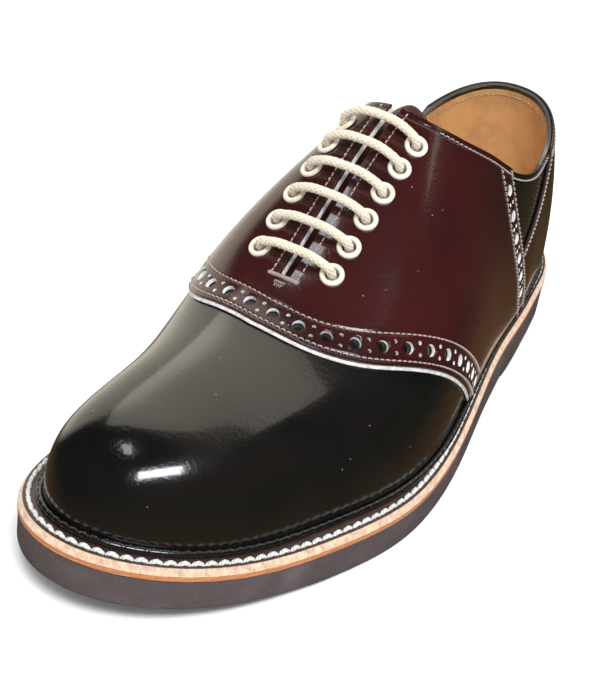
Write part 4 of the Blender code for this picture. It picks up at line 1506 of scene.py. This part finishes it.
def build_saddle():
    skin = leather_skin().part(lambda rib, row: rib.min() >= REAR_RIB and rib.max() <= FRONT_RIB)

    def edge_slot(rib, row):
        if (rib == FRONT_RIB).all() or (rib == REAR_RIB).all():
            return 1
        return 1 if row.min() == ROWS and rib.min() >= CORNER_RIB else 3

    wall = cut_edge("hole_wall", HOLE_WALL)
    slots = [oxblood_leather(), raw_edge(), flesh_side(), dark_edge(), wall]
    obj = leather_body("saddle_leather", skin, GAP, SADDLE_OUT, slots, edge_slot,
                       lambda rib, row: rib == FRONT_RIB)
    obj = punched(obj, eyelet_punch(slots[3]), crossed=True)
    pitch = in_mm(sizes().hole_pitch)
    big, pins = [], []
    bands = [(*walked(*front_seam(), -BAND_MIDDLE), pitch, FRONT_HOLES)]
    for side in (1, -1):
        s, turn = walked(*rear_seam(side), REAR_MIDDLE * side)
        bands.append((s[::-1], turn[::-1], pitch * REAR_HOLES.stretch, REAR_HOLES))
    for s, turn, step, holes in bands:
        large, small = hole_line(s, turn, step, holes.first)
        big.append(large)
        pins += [shifted(*small, off) for off in (-holes.apart, holes.apart)]
    for places, width, sides, label in (
            (big, sizes().large_hole, 24, "large_punches"),
            (pins, sizes().small_hole, 10, "small_punches")):
        s = np.concatenate([p[0] for p in places])
        turn = np.concatenate([p[1] for p in places])
        spots, outs = on_leather(s, turn, SADDLE_OUT)
        along = unit(last_slopes(s, turn)[0])
        posts = punches(label, spots, outs, along, in_mm(width) / 2, SADDLE_OUT - 0.02, sides, wall)
        obj = punched(obj, posts, crossed=True)
    points = points_of(obj)
    front = on_leather(*front_seam(), SADDLE_OUT)[0]
    rear = np.concatenate([on_leather(*rear_seam(side), SADDLE_OUT)[0] for side in (1, -1)])
    top = np.concatenate(
        [on_leather(*top_edge(side, SEAMS[-1].rear, 1.0), SADDLE_OUT)[0] for side in (1, -1)])
    away = [distance_to(points, line) for line in (front, rear, top)]
    for label, values in zip(("front_away", "rear_away", "top_away"), away):
        set_numbers(obj, label, values)
    set_numbers(obj, "edge_away", np.minimum.reduce(away))
    finished(obj, "saddle", slot="oxblood_leather")


def shifted(s, turn, off):
    """Points of a line moved sideways by a few millimetres, without spacing them anew."""
    return walked(s, turn, off, 4, eased=False)


STITCH_SHARE = 0.74    # length of a stitch against the pitch
STITCH_RISE = 0.22


def stitch_line(name, s, turn, out, kind="upper", inward=False):
    """A row of stitches along a line of the leather."""
    points, normals = on_leather(s, turn, out)
    pitch = sizes().stitch_pitch
    source = dotted(points, -normals if inward else normals)
    return grown(name, thread_tree(), source, Pitch=pitch, Length=pitch * STITCH_SHARE,
                 Thickness=sizes().thread, Rise=STITCH_RISE * MM, Thread=thread_of(kind))


def build_stitching():
    parts = []
    for row in FRONT_ROWS:
        s, turn = walked(*front_seam(), -row)
        parts.append(stitch_line("front_row", s[3:-3], turn[3:-3], SADDLE_OUT))
    for side in (1, -1):
        for row in REAR_ROWS:
            s, turn = walked(*rear_seam(side, reach=1.0 + ROW_REACH * row), row * side)
            parts.append(stitch_line("rear_row", s[2:-2], turn[2:-2], SADDLE_OUT))
        s, turn = walked(*counter_edge(side), -COUNTER_ROW * side)
        parts.append(stitch_line("counter_row", s[2:-1], turn[2:-1], COUNTER_OUT))
        for first, last, out in (
                (0.0, COUNTER_SEAM[-1].share, COUNTER_OUT),
                (COUNTER_SEAM[-1].share, SEAMS[-1].rear, 0.0),
                (SEAMS[-1].rear, 0.431, SADDLE_OUT)):
            s, turn = top_edge(side, first, edge_part(last))
            s, turn = walked(s, turn, TOP_ROW * side)
            parts.append(stitch_line("top_row", s, turn, out))
        s = np.linspace(SLIT_TOP + 0.006, SLIT_END, 60)
        turn = sided(np.array([slit_turn(v) for v in s]), side)
        s, turn = walked(s, turn, SLIT_ROW * side)
        parts.append(stitch_line("slit_row", s, turn, SADDLE_OUT))
    finished(joined("upper_stitching", parts))


def build_lining_stitching():
    parts = []
    for side in (1, -1):
        s, turn = top_edge(side, 0.0, edge_part(0.425))
        s, turn = walked(s, turn, LINING_ROW * side)
        parts.append(stitch_line("lining_row", s, turn, -UPPER_WALL, "tan", inward=True))
    finished(joined("lining_stitching", parts))


def across_throat(s, wide, count):
    """Points and normals of a short line over the saddle, across the throat."""
    ends = [(1 if away >= 0 else -1, abs(away)) for away in np.linspace(-wide, wide, count)]
    points = np.array([throat_place(side, s, away, SADDLE_OUT) for side, away in ends])
    above = np.array([throat_place(side, s, away, SADDLE_OUT + 1) for side, away in ends])
    return points, unit(above - points)


# Rows of the bar tack: drop and half width in millimetres, then the thread's sizes in metres
TackRow = namedtuple("TackRow", "drop half count pitch length thick turn")
TACK_ROWS = (
    TackRow(0.0, 5.4, 30, 0.00042, 0.0013, 0.00042, math.pi / 2),
    TackRow(2.2, 1.6, 8, 0.0008, 0.0011, 0.0004, 1.1),
    TackRow(3.4, 1.0, 8, 0.0008, 0.0011, 0.0004, 1.1),
)


def build_bar_tack():
    """Dense stitches across the end of the slit, with a few short ones under them."""
    parts = []
    for row in TACK_ROWS:
        line = across_throat(SLIT_END + 0.003 + row.drop / LAST_LENGTH, row.half, row.count)
        parts.append(grown("tack", thread_tree(), dotted(*line), Pitch=row.pitch,
                           Length=row.length, Thickness=row.thick, Rise=0.0004,
                           Turn=row.turn, Thread=thread_of("upper")))
    finished(joined("bar_tack", parts))


def tongue_rings():
    under = -(UPPER_WALL + 3 * GAP + LACE_THICK)
    near = -(UPPER_WALL + GAP)
    rings = []
    steps = np.sin(np.linspace(-math.pi / 2, math.pi / 2, 33))
    shares = TONGUE_TOP + (TONGUE_END - TONGUE_TOP) * (1 - np.cos(np.linspace(0, math.pi, 60))) / 2
    for s in shares:
        top = float(np.interp(s, [EYELET_LAST + 0.016, TONGUE_END - 0.008], [under, near]))
        wide = TONGUE_HALF * min(1.0, math.sqrt(max(0.35, (s - TONGUE_TOP + 0.008) / 0.03)))
        end = min((s - TONGUE_TOP), (TONGUE_END - s)) * LAST_LENGTH
        closing = math.sqrt(max(0.0, 1 - max(0.0, 1 - end / 1.2) ** 2))
        upper_row, lower_row = [], []
        for t in steps:
            body = TONGUE_WALL / 2 * (1 - abs(t) ** 24) ** 0.5 * closing
            side = 1 if t >= 0 else -1
            middle = top - TONGUE_WALL / 2
            upper_row.append(throat_place(side, s, abs(t) * wide, middle + body))
            lower_row.append(throat_place(side, s, abs(t) * wide, middle - body))
        rings.append(upper_row + lower_row[::-1])
    return rings


def build_tongue():
    rings = tongue_rings()
    count = len(rings[0])
    points = [p for ring in rings for p in ring]
    faces = []
    for i in range(len(rings) - 1):
        for j in range(count):
            k = (j + 1) % count
            faces.append((i * count + j, i * count + k, (i + 1) * count + k, (i + 1) * count + j))
    brown = plain_leather("tongue_leather", tuple(colours().tongue), 0.3)
    obj = new_piece("tongue_leather", points, faces, [brown])
    cleaned(obj)
    finished(obj, "tongue", slot="brown_leather")


def cleaned(obj, sharp=None):
    """Join doubled points, drop empty faces, turn the faces outward and mark the sharp edges."""
    work = bmesh.new()
    work.from_mesh(obj.data)
    bmesh.ops.remove_doubles(work, verts=work.verts, dist=2e-6)
    bmesh.ops.dissolve_degenerate(work, edges=work.edges, dist=2e-6)
    loose = [v for v in work.verts if not v.link_faces]
    bmesh.ops.delete(work, geom=loose, context="VERTS")
    bmesh.ops.recalc_face_normals(work, faces=work.faces)
    work.to_mesh(obj.data)
    work.free()
    if sharp:
        obj.data.set_sharp_from_angle(angle=math.radians(sharp))


def plate(name, profile, shares, materials, strips, sharp=32):
    """Body across the foot whose edge follows the outline; strips are its materials down the side."""
    rings = []
    for s in shares:
        ring = [[*rim(s, 1, out), height] for out, height in profile(s)]
        ring += [[*rim(s, -1, out), height] for out, height in reversed(profile(s))]
        rings.append(ring)
    count = len(rings[0])
    half_count = count // 2
    points = [p for ring in rings for p in ring]
    faces, marks = [], []
    across = list(strips) + [strips[-1]] + list(reversed(strips)) + [strips[0]]
    for i in range(len(rings) - 1):
        for j in range(count):
            k = (j + 1) % count
            faces.append((i * count + j, i * count + k, (i + 1) * count + k, (i + 1) * count + j))
            marks.append(across[j])
    for ring, flip in ((0, 1), (len(rings) - 1, -1)):
        for j in range(half_count - 1):
            a, b = ring * count + j, ring * count + j + 1
            c, d = ring * count + count - 2 - j, ring * count + count - 1 - j
            faces.append((a, b, c, d)[::flip])
            marks.append(strips[j])
    obj = new_piece(name, points, faces, materials, marks)
    cleaned(obj, sharp)
    return obj


def build_insole():
    def profile(s):
        low = float(feather(s)) + GAP
        inside = -(UPPER_WALL + INSOLE_INSET)
        high = low + INSOLE_THICK
        return [(inside - 9.0, high), (inside - 2.0, high - 0.05), (inside - 0.5, high - 0.35),
                (inside, high - 1.0), (inside, low)]

    tan = plain_leather("tan_insole", toned(colours().tan, 0.92), 0.5)
    obj = plate("insole_leather", profile, plan_shares(), [tan], [0] * 4)
    finished(obj, "insole", slot="tan_leather")


def welt_profile(s):
    top = float(feather(s)) - GAP
    wide = float(welt_width(s))
    row = wide - WELT_ROW
    return [(-6.0, top), (row - 0.9, top), (row, top - 0.3), (row + 0.9, top),
            (wide - WELT_BEVEL - 0.25, top), (wide - WELT_BEVEL, top - 0.15),
            (wide - 0.15, top - WELT_BEVEL_DROP + 0.1), (wide, top - WELT_BEVEL_DROP - 0.2),
            (wide, top - WELT_THICK + 0.15), (wide - 0.15, top - WELT_THICK)]


def build_welt():
    materials = [welt_leather(), cut_edge("welt_bevel", (0.64, 0.43, 0.29, 1)), welt_cut()]
    strips = [0, 0, 0, 0, 0, 1, 1, 2, 2]
    obj = plate("welt_leather", welt_profile, plan_shares(), materials, strips)
    finished(obj, "welt", slot="brown_welt")


def around(width, lift):
    """Closed line round the foot: width(s) out of the feather, at a lift over the welt."""
    shares = plan_shares()
    loop = [(s, 1) for s in shares] + [(s, -1) for s in shares[::-1][1:-1]]
    return [[*rim(s, side, width(s)), float(feather(s)) - GAP + lift] for s, side in loop]


def upward(points):
    return np.tile([0.0, 0.0, 1.0], (len(points), 1))


def build_welt_stitching():
    points = around(lambda s: float(welt_width(s)) - WELT_ROW, -0.25)
    source = dotted(points, upward(points), closed=True)
    pitch = sizes().welt_pitch
    finished(grown("welt_stitching", thread_tree(), source, Pitch=pitch, Length=pitch * 0.93,
                   Thickness=sizes().welt_thread, Rise=0.0004, Thread=thread_of("welt")))


def build_bead():
    """Rolled black bead that closes the corner between upper and welt, with its stitches."""
    thick = in_mm(sizes().bead)
    points = around(lambda s: thick * 0.42, thick / 2)
    bead = grown("bead", bead_tree(), dotted(points, upward(points), closed=True),
                 Thickness=sizes().bead, Finish=black_leather())
    crest = around(lambda s: thick * 0.62, thick * 0.93)
    row = grown("bead_row", thread_tree(), dotted(crest, upward(crest), closed=True),
                Pitch=0.0034, Length=0.0029, Thickness=0.0006, Rise=0.0002,
                Thread=thread_of("black"))
    finished(joined("welt_bead", [bead, row]))


def build_soles():
    def outsole(s):
        top = float(feather(s)) - GAP - WELT_THICK - 0.05
        wide = float(welt_width(s)) - SOLE_INSET
        low = float(sole_under(s))
        edge = SOLE_EDGE
        return [(wide - 0.3, top), (wide, top - 0.25), (wide, low + edge),
                (wide - 0.12 * edge, low + 0.5 * edge),
                (wide - 0.45 * edge, low + 0.14 * edge), (wide - edge, low)]

    def heel(s):
        top = HEEL_BLOCK - 0.05
        wide = float(welt_width(s)) - SOLE_INSET
        edge = SOLE_EDGE
        foot = wide - HEEL_TAPER
        return [(wide - 0.2, top), (wide, top - 0.2), (foot, edge), (foot - 0.12 * edge, 0.5 * edge),
                (foot - 0.45 * edge, 0.14 * edge), (foot - edge, 0.0)]

    sole_shares = sorted({*plan_shares(), *(row.share for row in SOLE_UNDER[1:4])})
    obj = plate("rubber_outsole", outsole, sole_shares, [rubber("brown_rubber", 1.0)], [0] * 5)
    finished(obj, "outsole", slot="brown_rubber")
    shares = [s for s in plan_shares() if s < HEEL_SHARE - 0.01] + [HEEL_SHARE]
    obj = plate("rubber_heel", heel, shares, [rubber("brown_heel_rubber", 0.95)], [0] * 5)
    breast = placed([0, (0.5 - HEEL_SHARE) * LAST_LENGTH, 0])[1]
    for v in obj.data.vertices:
        if v.co.y < breast + 2 * MM:
            v.co.y -= HEEL_SLANT * MM * v.co.z / (HEEL_BLOCK * MM)
    finished(obj, "heel", slot="brown_rubber")


def build_eyelets():
    """One turned eyelet set on each place."""
    bore, barrel, flange = EYELET_HOLE / 2, EYELET_BARREL / 2, EYELET_FLANGE / 2
    deep = -(SADDLE_OUT + UPPER_WALL)
    middle, wide = (bore + flange) / 2, (flange - bore) / 2
    base = 0.05
    profile = [(barrel, deep), (bore, deep)]
    for angle in np.linspace(math.pi, 0, 13):
        rise = (GAP + EYELET_CROWN - base - 0.25) * math.sin(angle) ** 0.8
        profile.append((middle + wide * math.cos(angle), base + 0.25 + rise))
    profile += [(flange - 0.05, base), (barrel, base)]
    points, faces, sides = [], [], 48
    for k in range(sides):
        angle = 2 * math.pi * k / sides
        points += [(r * math.cos(angle) * MM, r * math.sin(angle) * MM, z * MM) for r, z in profile]
    count = len(profile)
    for k in range(sides):
        n = (k + 1) % sides
        for j in range(count):
            m = (j + 1) % count
            faces.append((k * count + j, n * count + j, n * count + m, k * count + m))
    mesh = bpy.data.meshes.new("eyelet")
    mesh.from_pydata(points, [], faces)
    pattern = linked("eyelet", mesh)
    places, outs, alongs = eyelet_places()
    obj = grown("eyelets", pattern_tree(), dotted(places, outs, alongs, lined=False),
                Pattern=pattern, Finish=enamel())
    bpy.data.objects.remove(pattern)
    cleaned(obj, 50)
    nodes = [f"eyelet_{word}_{k + 1}" for word in ("outer", "inner") for k in range(EYELET_PAIRS)]
    finished(obj, *nodes, slot="ivory_enamel")


def lace_line():
    """Middle line of the lace, its points as chosen for the CAD part."""
    shares = eyelet_shares()
    wall_in = -(UPPER_WALL + GAP + LACE_THICK / 2 + 0.15)
    flange = GAP + SADDLE_WALL + GAP + EYELET_CROWN
    line = []

    def add(side, s, away, out):
        line.append(throat_place(side, s, away, out))

    def bar(side, i):
        """Out of one eyelet, over the throat and into its partner."""
        s = shares[i]
        for hand, order in ((side, 1), (-side, -1)):
            steps = [
                (EYELET_OUT, -1.2),
                (EYELET_OUT - 0.4, flange + 0.5),
                (EYELET_OUT - 1.6, flange + LACE_THICK * 0.62),
                (EYELET_OUT - 4.0, flange + LACE_THICK * 0.88),
                (EYELET_OUT - 8.0, flange + LACE_THICK + 0.5),
            ]
            for away, out in steps[::order]:
                add(hand, s, away, out)
            if order > 0:
                add(hand, s, 0.0, GAP + SADDLE_WALL + LACE_RISE)

    def inside(side, i, j, step):
        """Behind the facing from eyelet i to eyelet j, passing the one between at a distance."""
        a, b = shares[i], shares[j]
        turn = 2.4 / LAST_LENGTH * (1 if b > a else -1)
        add(side, a + turn * 0.25, EYELET_OUT, wall_in + 0.9)
        add(side, a + turn, EYELET_OUT, wall_in)
        if step:
            middle = (a + b) / 2
            quarter = (b - a) / 4
            add(side, middle - quarter, EYELET_OUT + step * 0.75, wall_in)
            add(side, middle, EYELET_OUT + step, wall_in)
            add(side, middle + quarter, EYELET_OUT + step * 0.75, wall_in)
        add(side, b - turn, EYELET_OUT, wall_in)
        add(side, b - turn * 0.25, EYELET_OUT, wall_in + 0.9)

    first = shares[0]
    add(-1, first + 5.0 / LAST_LENGTH, EYELET_OUT, wall_in)
    add(-1, first + 2.4 / LAST_LENGTH, EYELET_OUT, wall_in)
    add(-1, first + 0.6 / LAST_LENGTH, EYELET_OUT, wall_in + 0.9)
    bar(-1, 0)
    inside(1, 0, 2, LACE_STEP)
    bar(1, 2)
    inside(-1, 2, 4, LACE_STEP)
    bar(-1, 4)
    inside(1, 4, 5, 0)
    bar(1, 5)
    inside(-1, 5, 3, -LACE_STEP)
    bar(-1, 3)
    inside(1, 3, 1, -LACE_STEP)
    bar(1, 1)
    second = shares[1]
    add(-1, second - 0.6 / LAST_LENGTH, EYELET_OUT, wall_in + 0.9)
    add(-1, second - 2.4 / LAST_LENGTH, EYELET_OUT, wall_in)
    add(-1, second - 4.6 / LAST_LENGTH, EYELET_OUT, wall_in)
    return np.array(line)


def smooth_line(points, step):
    """Smooth curve through the points, sampled at an even step, with its running length."""
    run = np.concatenate([[0.0], np.cumsum(np.linalg.norm(np.diff(points, axis=0), axis=1) ** 0.6)])
    curve = spline(run, points)(np.linspace(0, run[-1], 6000))
    length = np.concatenate([[0.0], np.cumsum(np.linalg.norm(np.diff(curve, axis=0), axis=1))])
    at = np.linspace(0, length[-1], int(length[-1] / step) + 1)
    return np.stack([np.interp(at, length, curve[:, k]) for k in range(3)], -1), at


def carried_frames(points):
    """Two side directions carried along the line without twist."""
    ways = unit(np.gradient(points, axis=0))
    side = unit(np.cross(ways[0], [0.3, 0.2, 0.9]))
    sides = [side]
    for i in range(1, len(points)):
        side = side - ways[i] * side.dot(ways[i])
        side = side / np.linalg.norm(side)
        sides.append(side)
    sides = np.array(sides)
    return sides, np.cross(ways, sides)


def build_lace():
    """Round braid: strands run both ways round the middle line, over and under in turn."""
    middle, at = smooth_line(lace_line(), 0.42)
    first, second = carried_frames(middle)
    pitch = in_mm(sizes().braid_pitch)
    count = sizes().braid_strands
    swing, thick = 0.17, 0.36
    ring = LACE_THICK / 2 - thick - swing
    wide = 0.94 * math.pi * ring / count * math.cos(math.atan(2 * math.pi * ring / pitch)) * 1.25
    points, faces, along, about = [], [], [], []
    sides = 6
    for way in (1, -1):
        wave = way * swing * np.cos(2 * math.pi * count * at / pitch)
        for k in range(count):
            angle = way * 2 * math.pi * at / pitch + 2 * math.pi * k / count
            radial = first * np.cos(angle)[:, None] + second * np.sin(angle)[:, None]
            line = middle + radial * (ring + wave)[:, None]
            ways = unit(np.gradient(line, axis=0))
            across = unit(np.cross(ways, radial))
            base = len(points)
            for j in range(sides):
                a = 2 * math.pi * j / sides
                shell = line + across * (wide * math.cos(a)) + radial * (thick * math.sin(a))
                points.extend(shell)
                along.extend(at)
                about.extend(np.full(len(at), j / sides))
            n = len(at)
            for j in range(sides):
                m = (j + 1) % sides
                a, b = base + j * n, base + m * n
                faces.extend((a + i, a + i + 1, b + i + 1, b + i) for i in range(n - 1))
            faces.append(tuple(base + j * n for j in range(sides)))
            faces.append(tuple(base + j * n + n - 1 for j in range(sides))[::-1])
    braid = new_piece("braid", points, faces, [cotton()])
    set_numbers(braid, "strand_along", along)
    set_numbers(braid, "strand_round", about)
    core = grown("core", bead_tree(), dotted(middle, first),
                 Thickness=(2 * ring - 0.2) * MM, Sides=10, Finish=cotton())
    finished(joined("lace_braid", [braid, core]), "lace", slot="natural_cord")


# Stage

Lamp = namedtuple("Lamp", "name azimuth elevation distance wide tall power colour seen")
LAMPS = (
    Lamp("window", 46.0, 52.0, 1000.0, 620.0, 250.0, 10.0, (0.90, 0.95, 1.0), True),
    Lamp("wall", 188.0, 52.0, 1000.0, 1600.0, 800.0, 4.8, (1.0, 0.94, 0.80), True),
    Lamp("ceiling", -58.0, 70.0, 1000.0, 200.0, 90.0, 0.35, (0.88, 0.93, 1.0), True),
    Lamp("left_fill", -70.0, 55.0, 1000.0, 900.0, 900.0, 1.6, (1.0, 0.98, 0.95), False),
    Lamp("right_fill", 40.0, 62.0, 1000.0, 900.0, 900.0, 1.6, (1.0, 0.98, 0.95), False),
)

# Where a pale wall shows in the shine of the inner side, how it fades in, and its colour
SIDE_WALL = (-134.0, 10.0)
SIDE_FADE = (0.80, 0.90)
SIDE_COLOUR = (0.95, 0.88, 0.74, 1)

# Room: even light on the shoe, what the camera sees, and what shows in the shine
EVEN_LIGHT = (0.78, 0.78, 0.79, 1)
BACKGROUND = (0.84, 0.84, 0.84, 1)
SHINE_LOW = (0.105, 0.062, 0.030, 1)
SHINE_MIDDLE = (0.012, 0.026, 0.016, 1)
SHINE_HIGH = (0.010, 0.013, 0.018, 1)
FLOOR_REACH = 3.0
SENSOR = 36.0


def toward(azimuth, elevation):
    a, e = math.radians(azimuth), math.radians(elevation)
    return Vector((math.sin(a) * math.cos(e), -math.cos(a) * math.cos(e), math.sin(e)))


def build_stage():
    scene = bpy.context.scene
    mesh = bpy.data.meshes.new("floor")
    corners = [(x * FLOOR_REACH, y * FLOOR_REACH, 0)
               for x, y in ((-1, -1), (1, -1), (1, 1), (-1, 1))]
    mesh.from_pydata(corners, [], [(0, 1, 2, 3)])
    made, tree, shader, vector = new_material("pale_floor", 0.7)
    pale = tuple(colours().floor)
    shade = toned(pale, 0.985)
    feed(tree, shader.inputs["Base Color"], blend_colour(tree, noise(tree, vector, 3.0, 2.0), pale, shade))
    mesh.materials.append(made)
    floor = linked("floor", mesh)
    floor.visible_glossy = False

    world = bpy.data.worlds.new("room")
    scene.world = world
    world.use_nodes = True
    tree = world.node_tree
    tree.nodes.clear()
    soft = add_node(tree, "ShaderNodeBackground", Color=EVEN_LIGHT, Strength=1.0)
    pale = add_node(tree, "ShaderNodeBackground", Color=BACKGROUND, Strength=1.0)
    way = tree.nodes.new("ShaderNodeTexCoord").outputs["Generated"]
    height = add_node(tree, "ShaderNodeSeparateXYZ", Vector=way).outputs["Z"]
    low = blend_colour(tree, spread(tree, height, -0.45, -0.10), SHINE_LOW, SHINE_MIDDLE)
    dim = blend_colour(tree, spread(tree, height, -0.10, 0.25), low, SHINE_HIGH)
    facing = add_node(tree, "ShaderNodeVectorMath", {"operation": "DOT_PRODUCT"}, Vector=way)
    facing.inputs[1].default_value = toward(*SIDE_WALL)
    dim = blend_colour(tree, spread(tree, facing.outputs["Value"], *SIDE_FADE), dim, SIDE_COLOUR)
    room = add_node(tree, "ShaderNodeBackground", Color=dim, Strength=1.0)
    rays = tree.nodes.new("ShaderNodeLightPath").outputs
    lit = tree.nodes.new("ShaderNodeMixShader")
    both = tree.nodes.new("ShaderNodeMixShader")
    for mix, ray, first, second in ((lit, "Is Glossy Ray", soft, room), (both, "Is Camera Ray", lit, pale)):
        tree.links.new(rays[ray], mix.inputs[0])
        tree.links.new(first.outputs[0], mix.inputs[1])
        tree.links.new(second.outputs[0], mix.inputs[2])
    out = tree.nodes.new("ShaderNodeOutputWorld")
    tree.links.new(both.outputs[0], out.inputs[0])

    for lamp in LAMPS:
        data = bpy.data.lights.new(lamp.name, "AREA")
        data.shape = "RECTANGLE"
        data.size = lamp.wide * MM
        data.size_y = lamp.tall * MM
        data.energy = lamp.power
        data.color = lamp.colour
        obj = linked(lamp.name, data)
        back = toward(lamp.azimuth, lamp.elevation)
        obj.location = Vector(TARGET) * MM + back * lamp.distance * MM
        obj.rotation_euler = back.to_track_quat("Z", "Y").to_euler()
        obj.visible_glossy = lamp.seen

    data = bpy.data.cameras.new("camera")
    data.lens = LENS
    data.sensor_width = SENSOR
    data.clip_start = 0.01
    camera = linked("camera", data)
    back = toward(AZIMUTH, ELEVATION)
    right = Vector((math.cos(math.radians(AZIMUTH)), math.sin(math.radians(AZIMUTH)), 0.0))
    up = back.cross(right)
    r = math.radians(ROLL)
    x = right * math.cos(r) + up * math.sin(r)
    y = up * math.cos(r) - right * math.sin(r)
    turn = Matrix((x, y, back)).transposed().to_4x4()
    camera.matrix_world = Matrix.Translation((Vector(TARGET) + back * DISTANCE) * MM) @ turn
    scene.camera = camera
    scene.view_settings.view_transform = "Standard"


# Add-on

class SHOE_OT_upper(bpy.types.Operator):
    """Black leather of the vamp and quarters"""

    bl_idname = "saddle_shoe.upper"
    bl_label = "Upper"

    def execute(self, context):
        build_upper()
        return {"FINISHED"}


class SHOE_OT_lining(bpy.types.Operator):
    """Tan lining with its row of stitches"""

    bl_idname = "saddle_shoe.lining"
    bl_label = "Lining"

    def execute(self, context):
        build_lining()
        build_lining_stitching()
        return {"FINISHED"}


class SHOE_OT_counter(bpy.types.Operator):
    """Heel counter over the quarters"""

    bl_idname = "saddle_shoe.counter"
    bl_label = "Counter"

    def execute(self, context):
        build_counter()
        return {"FINISHED"}


class SHOE_OT_saddle(bpy.types.Operator):
    """Oxblood saddle with its punched holes"""

    bl_idname = "saddle_shoe.saddle"
    bl_label = "Saddle"

    def execute(self, context):
        build_saddle()
        return {"FINISHED"}


class SHOE_OT_stitching(bpy.types.Operator):
    """Stitch rows of the upper and the bar tack"""

    bl_idname = "saddle_shoe.stitching"
    bl_label = "Stitching"

    def execute(self, context):
        build_stitching()
        build_bar_tack()
        return {"FINISHED"}


class SHOE_OT_tongue(bpy.types.Operator):
    """Leather tongue behind the lacing"""

    bl_idname = "saddle_shoe.tongue"
    bl_label = "Tongue"

    def execute(self, context):
        build_tongue()
        return {"FINISHED"}


class SHOE_OT_insole(bpy.types.Operator):
    """Tan insole"""

    bl_idname = "saddle_shoe.insole"
    bl_label = "Insole"

    def execute(self, context):
        build_insole()
        return {"FINISHED"}


class SHOE_OT_welt(bpy.types.Operator):
    """Welt with its thread and the rolled bead"""

    bl_idname = "saddle_shoe.welt"
    bl_label = "Welt"

    def execute(self, context):
        build_welt()
        build_welt_stitching()
        build_bead()
        return {"FINISHED"}


class SHOE_OT_soles(bpy.types.Operator):
    """Rubber outsole and heel"""

    bl_idname = "saddle_shoe.soles"
    bl_label = "Soles"

    def execute(self, context):
        build_soles()
        return {"FINISHED"}


class SHOE_OT_eyelets(bpy.types.Operator):
    """Twelve enamelled eyelets"""

    bl_idname = "saddle_shoe.eyelets"
    bl_label = "Eyelets"

    def execute(self, context):
        build_eyelets()
        return {"FINISHED"}


class SHOE_OT_lace(bpy.types.Operator):
    """Braided lace through the eyelets"""

    bl_idname = "saddle_shoe.lace"
    bl_label = "Lace"

    def execute(self, context):
        build_lace()
        return {"FINISHED"}


class SHOE_OT_stage(bpy.types.Operator):
    """Floor, lights, room and camera"""

    bl_idname = "saddle_shoe.stage"
    bl_label = "Stage"

    def execute(self, context):
        build_stage()
        return {"FINISHED"}


OPERATORS = (
    SHOE_OT_upper,
    SHOE_OT_lining,
    SHOE_OT_counter,
    SHOE_OT_saddle,
    SHOE_OT_stitching,
    SHOE_OT_tongue,
    SHOE_OT_insole,
    SHOE_OT_welt,
    SHOE_OT_soles,
    SHOE_OT_eyelets,
    SHOE_OT_lace,
    SHOE_OT_stage,
)


class SHOE_PT_panel(bpy.types.Panel):
    """Lists the pieces with their sizes and colours."""

    bl_label = "Saddle Shoe"
    bl_idname = "SHOE_PT_panel"
    bl_space_type = "VIEW_3D"
    bl_region_type = "UI"
    bl_category = "Saddle Shoe"

    def draw(self, context):
        for kind in OPERATORS:
            self.layout.operator(kind.bl_idname)
        for group in (context.scene.saddle_shoe_sizes, context.scene.saddle_shoe_colours):
            box = self.layout.box()
            for key in group.bl_rna.properties.keys():
                if key not in ("rna_type", "name"):
                    box.prop(group, key)


CLASSES = (ShoeSizes, ShoeColours, *OPERATORS, SHOE_PT_panel)


def register():
    for kind in CLASSES:
        bpy.utils.register_class(kind)
    bpy.types.Scene.saddle_shoe_sizes = PointerProperty(type=ShoeSizes)
    bpy.types.Scene.saddle_shoe_colours = PointerProperty(type=ShoeColours)


def unregister():
    del bpy.types.Scene.saddle_shoe_colours
    del bpy.types.Scene.saddle_shoe_sizes
    for kind in reversed(CLASSES):
        bpy.utils.unregister_class(kind)


def main():
    register()
    for kind in OPERATORS:
        group, name = kind.bl_idname.split(".")
        getattr(getattr(bpy.ops, group), name)()
    bpy.context.view_layer.update()


if __name__ == "__main__":
    main()
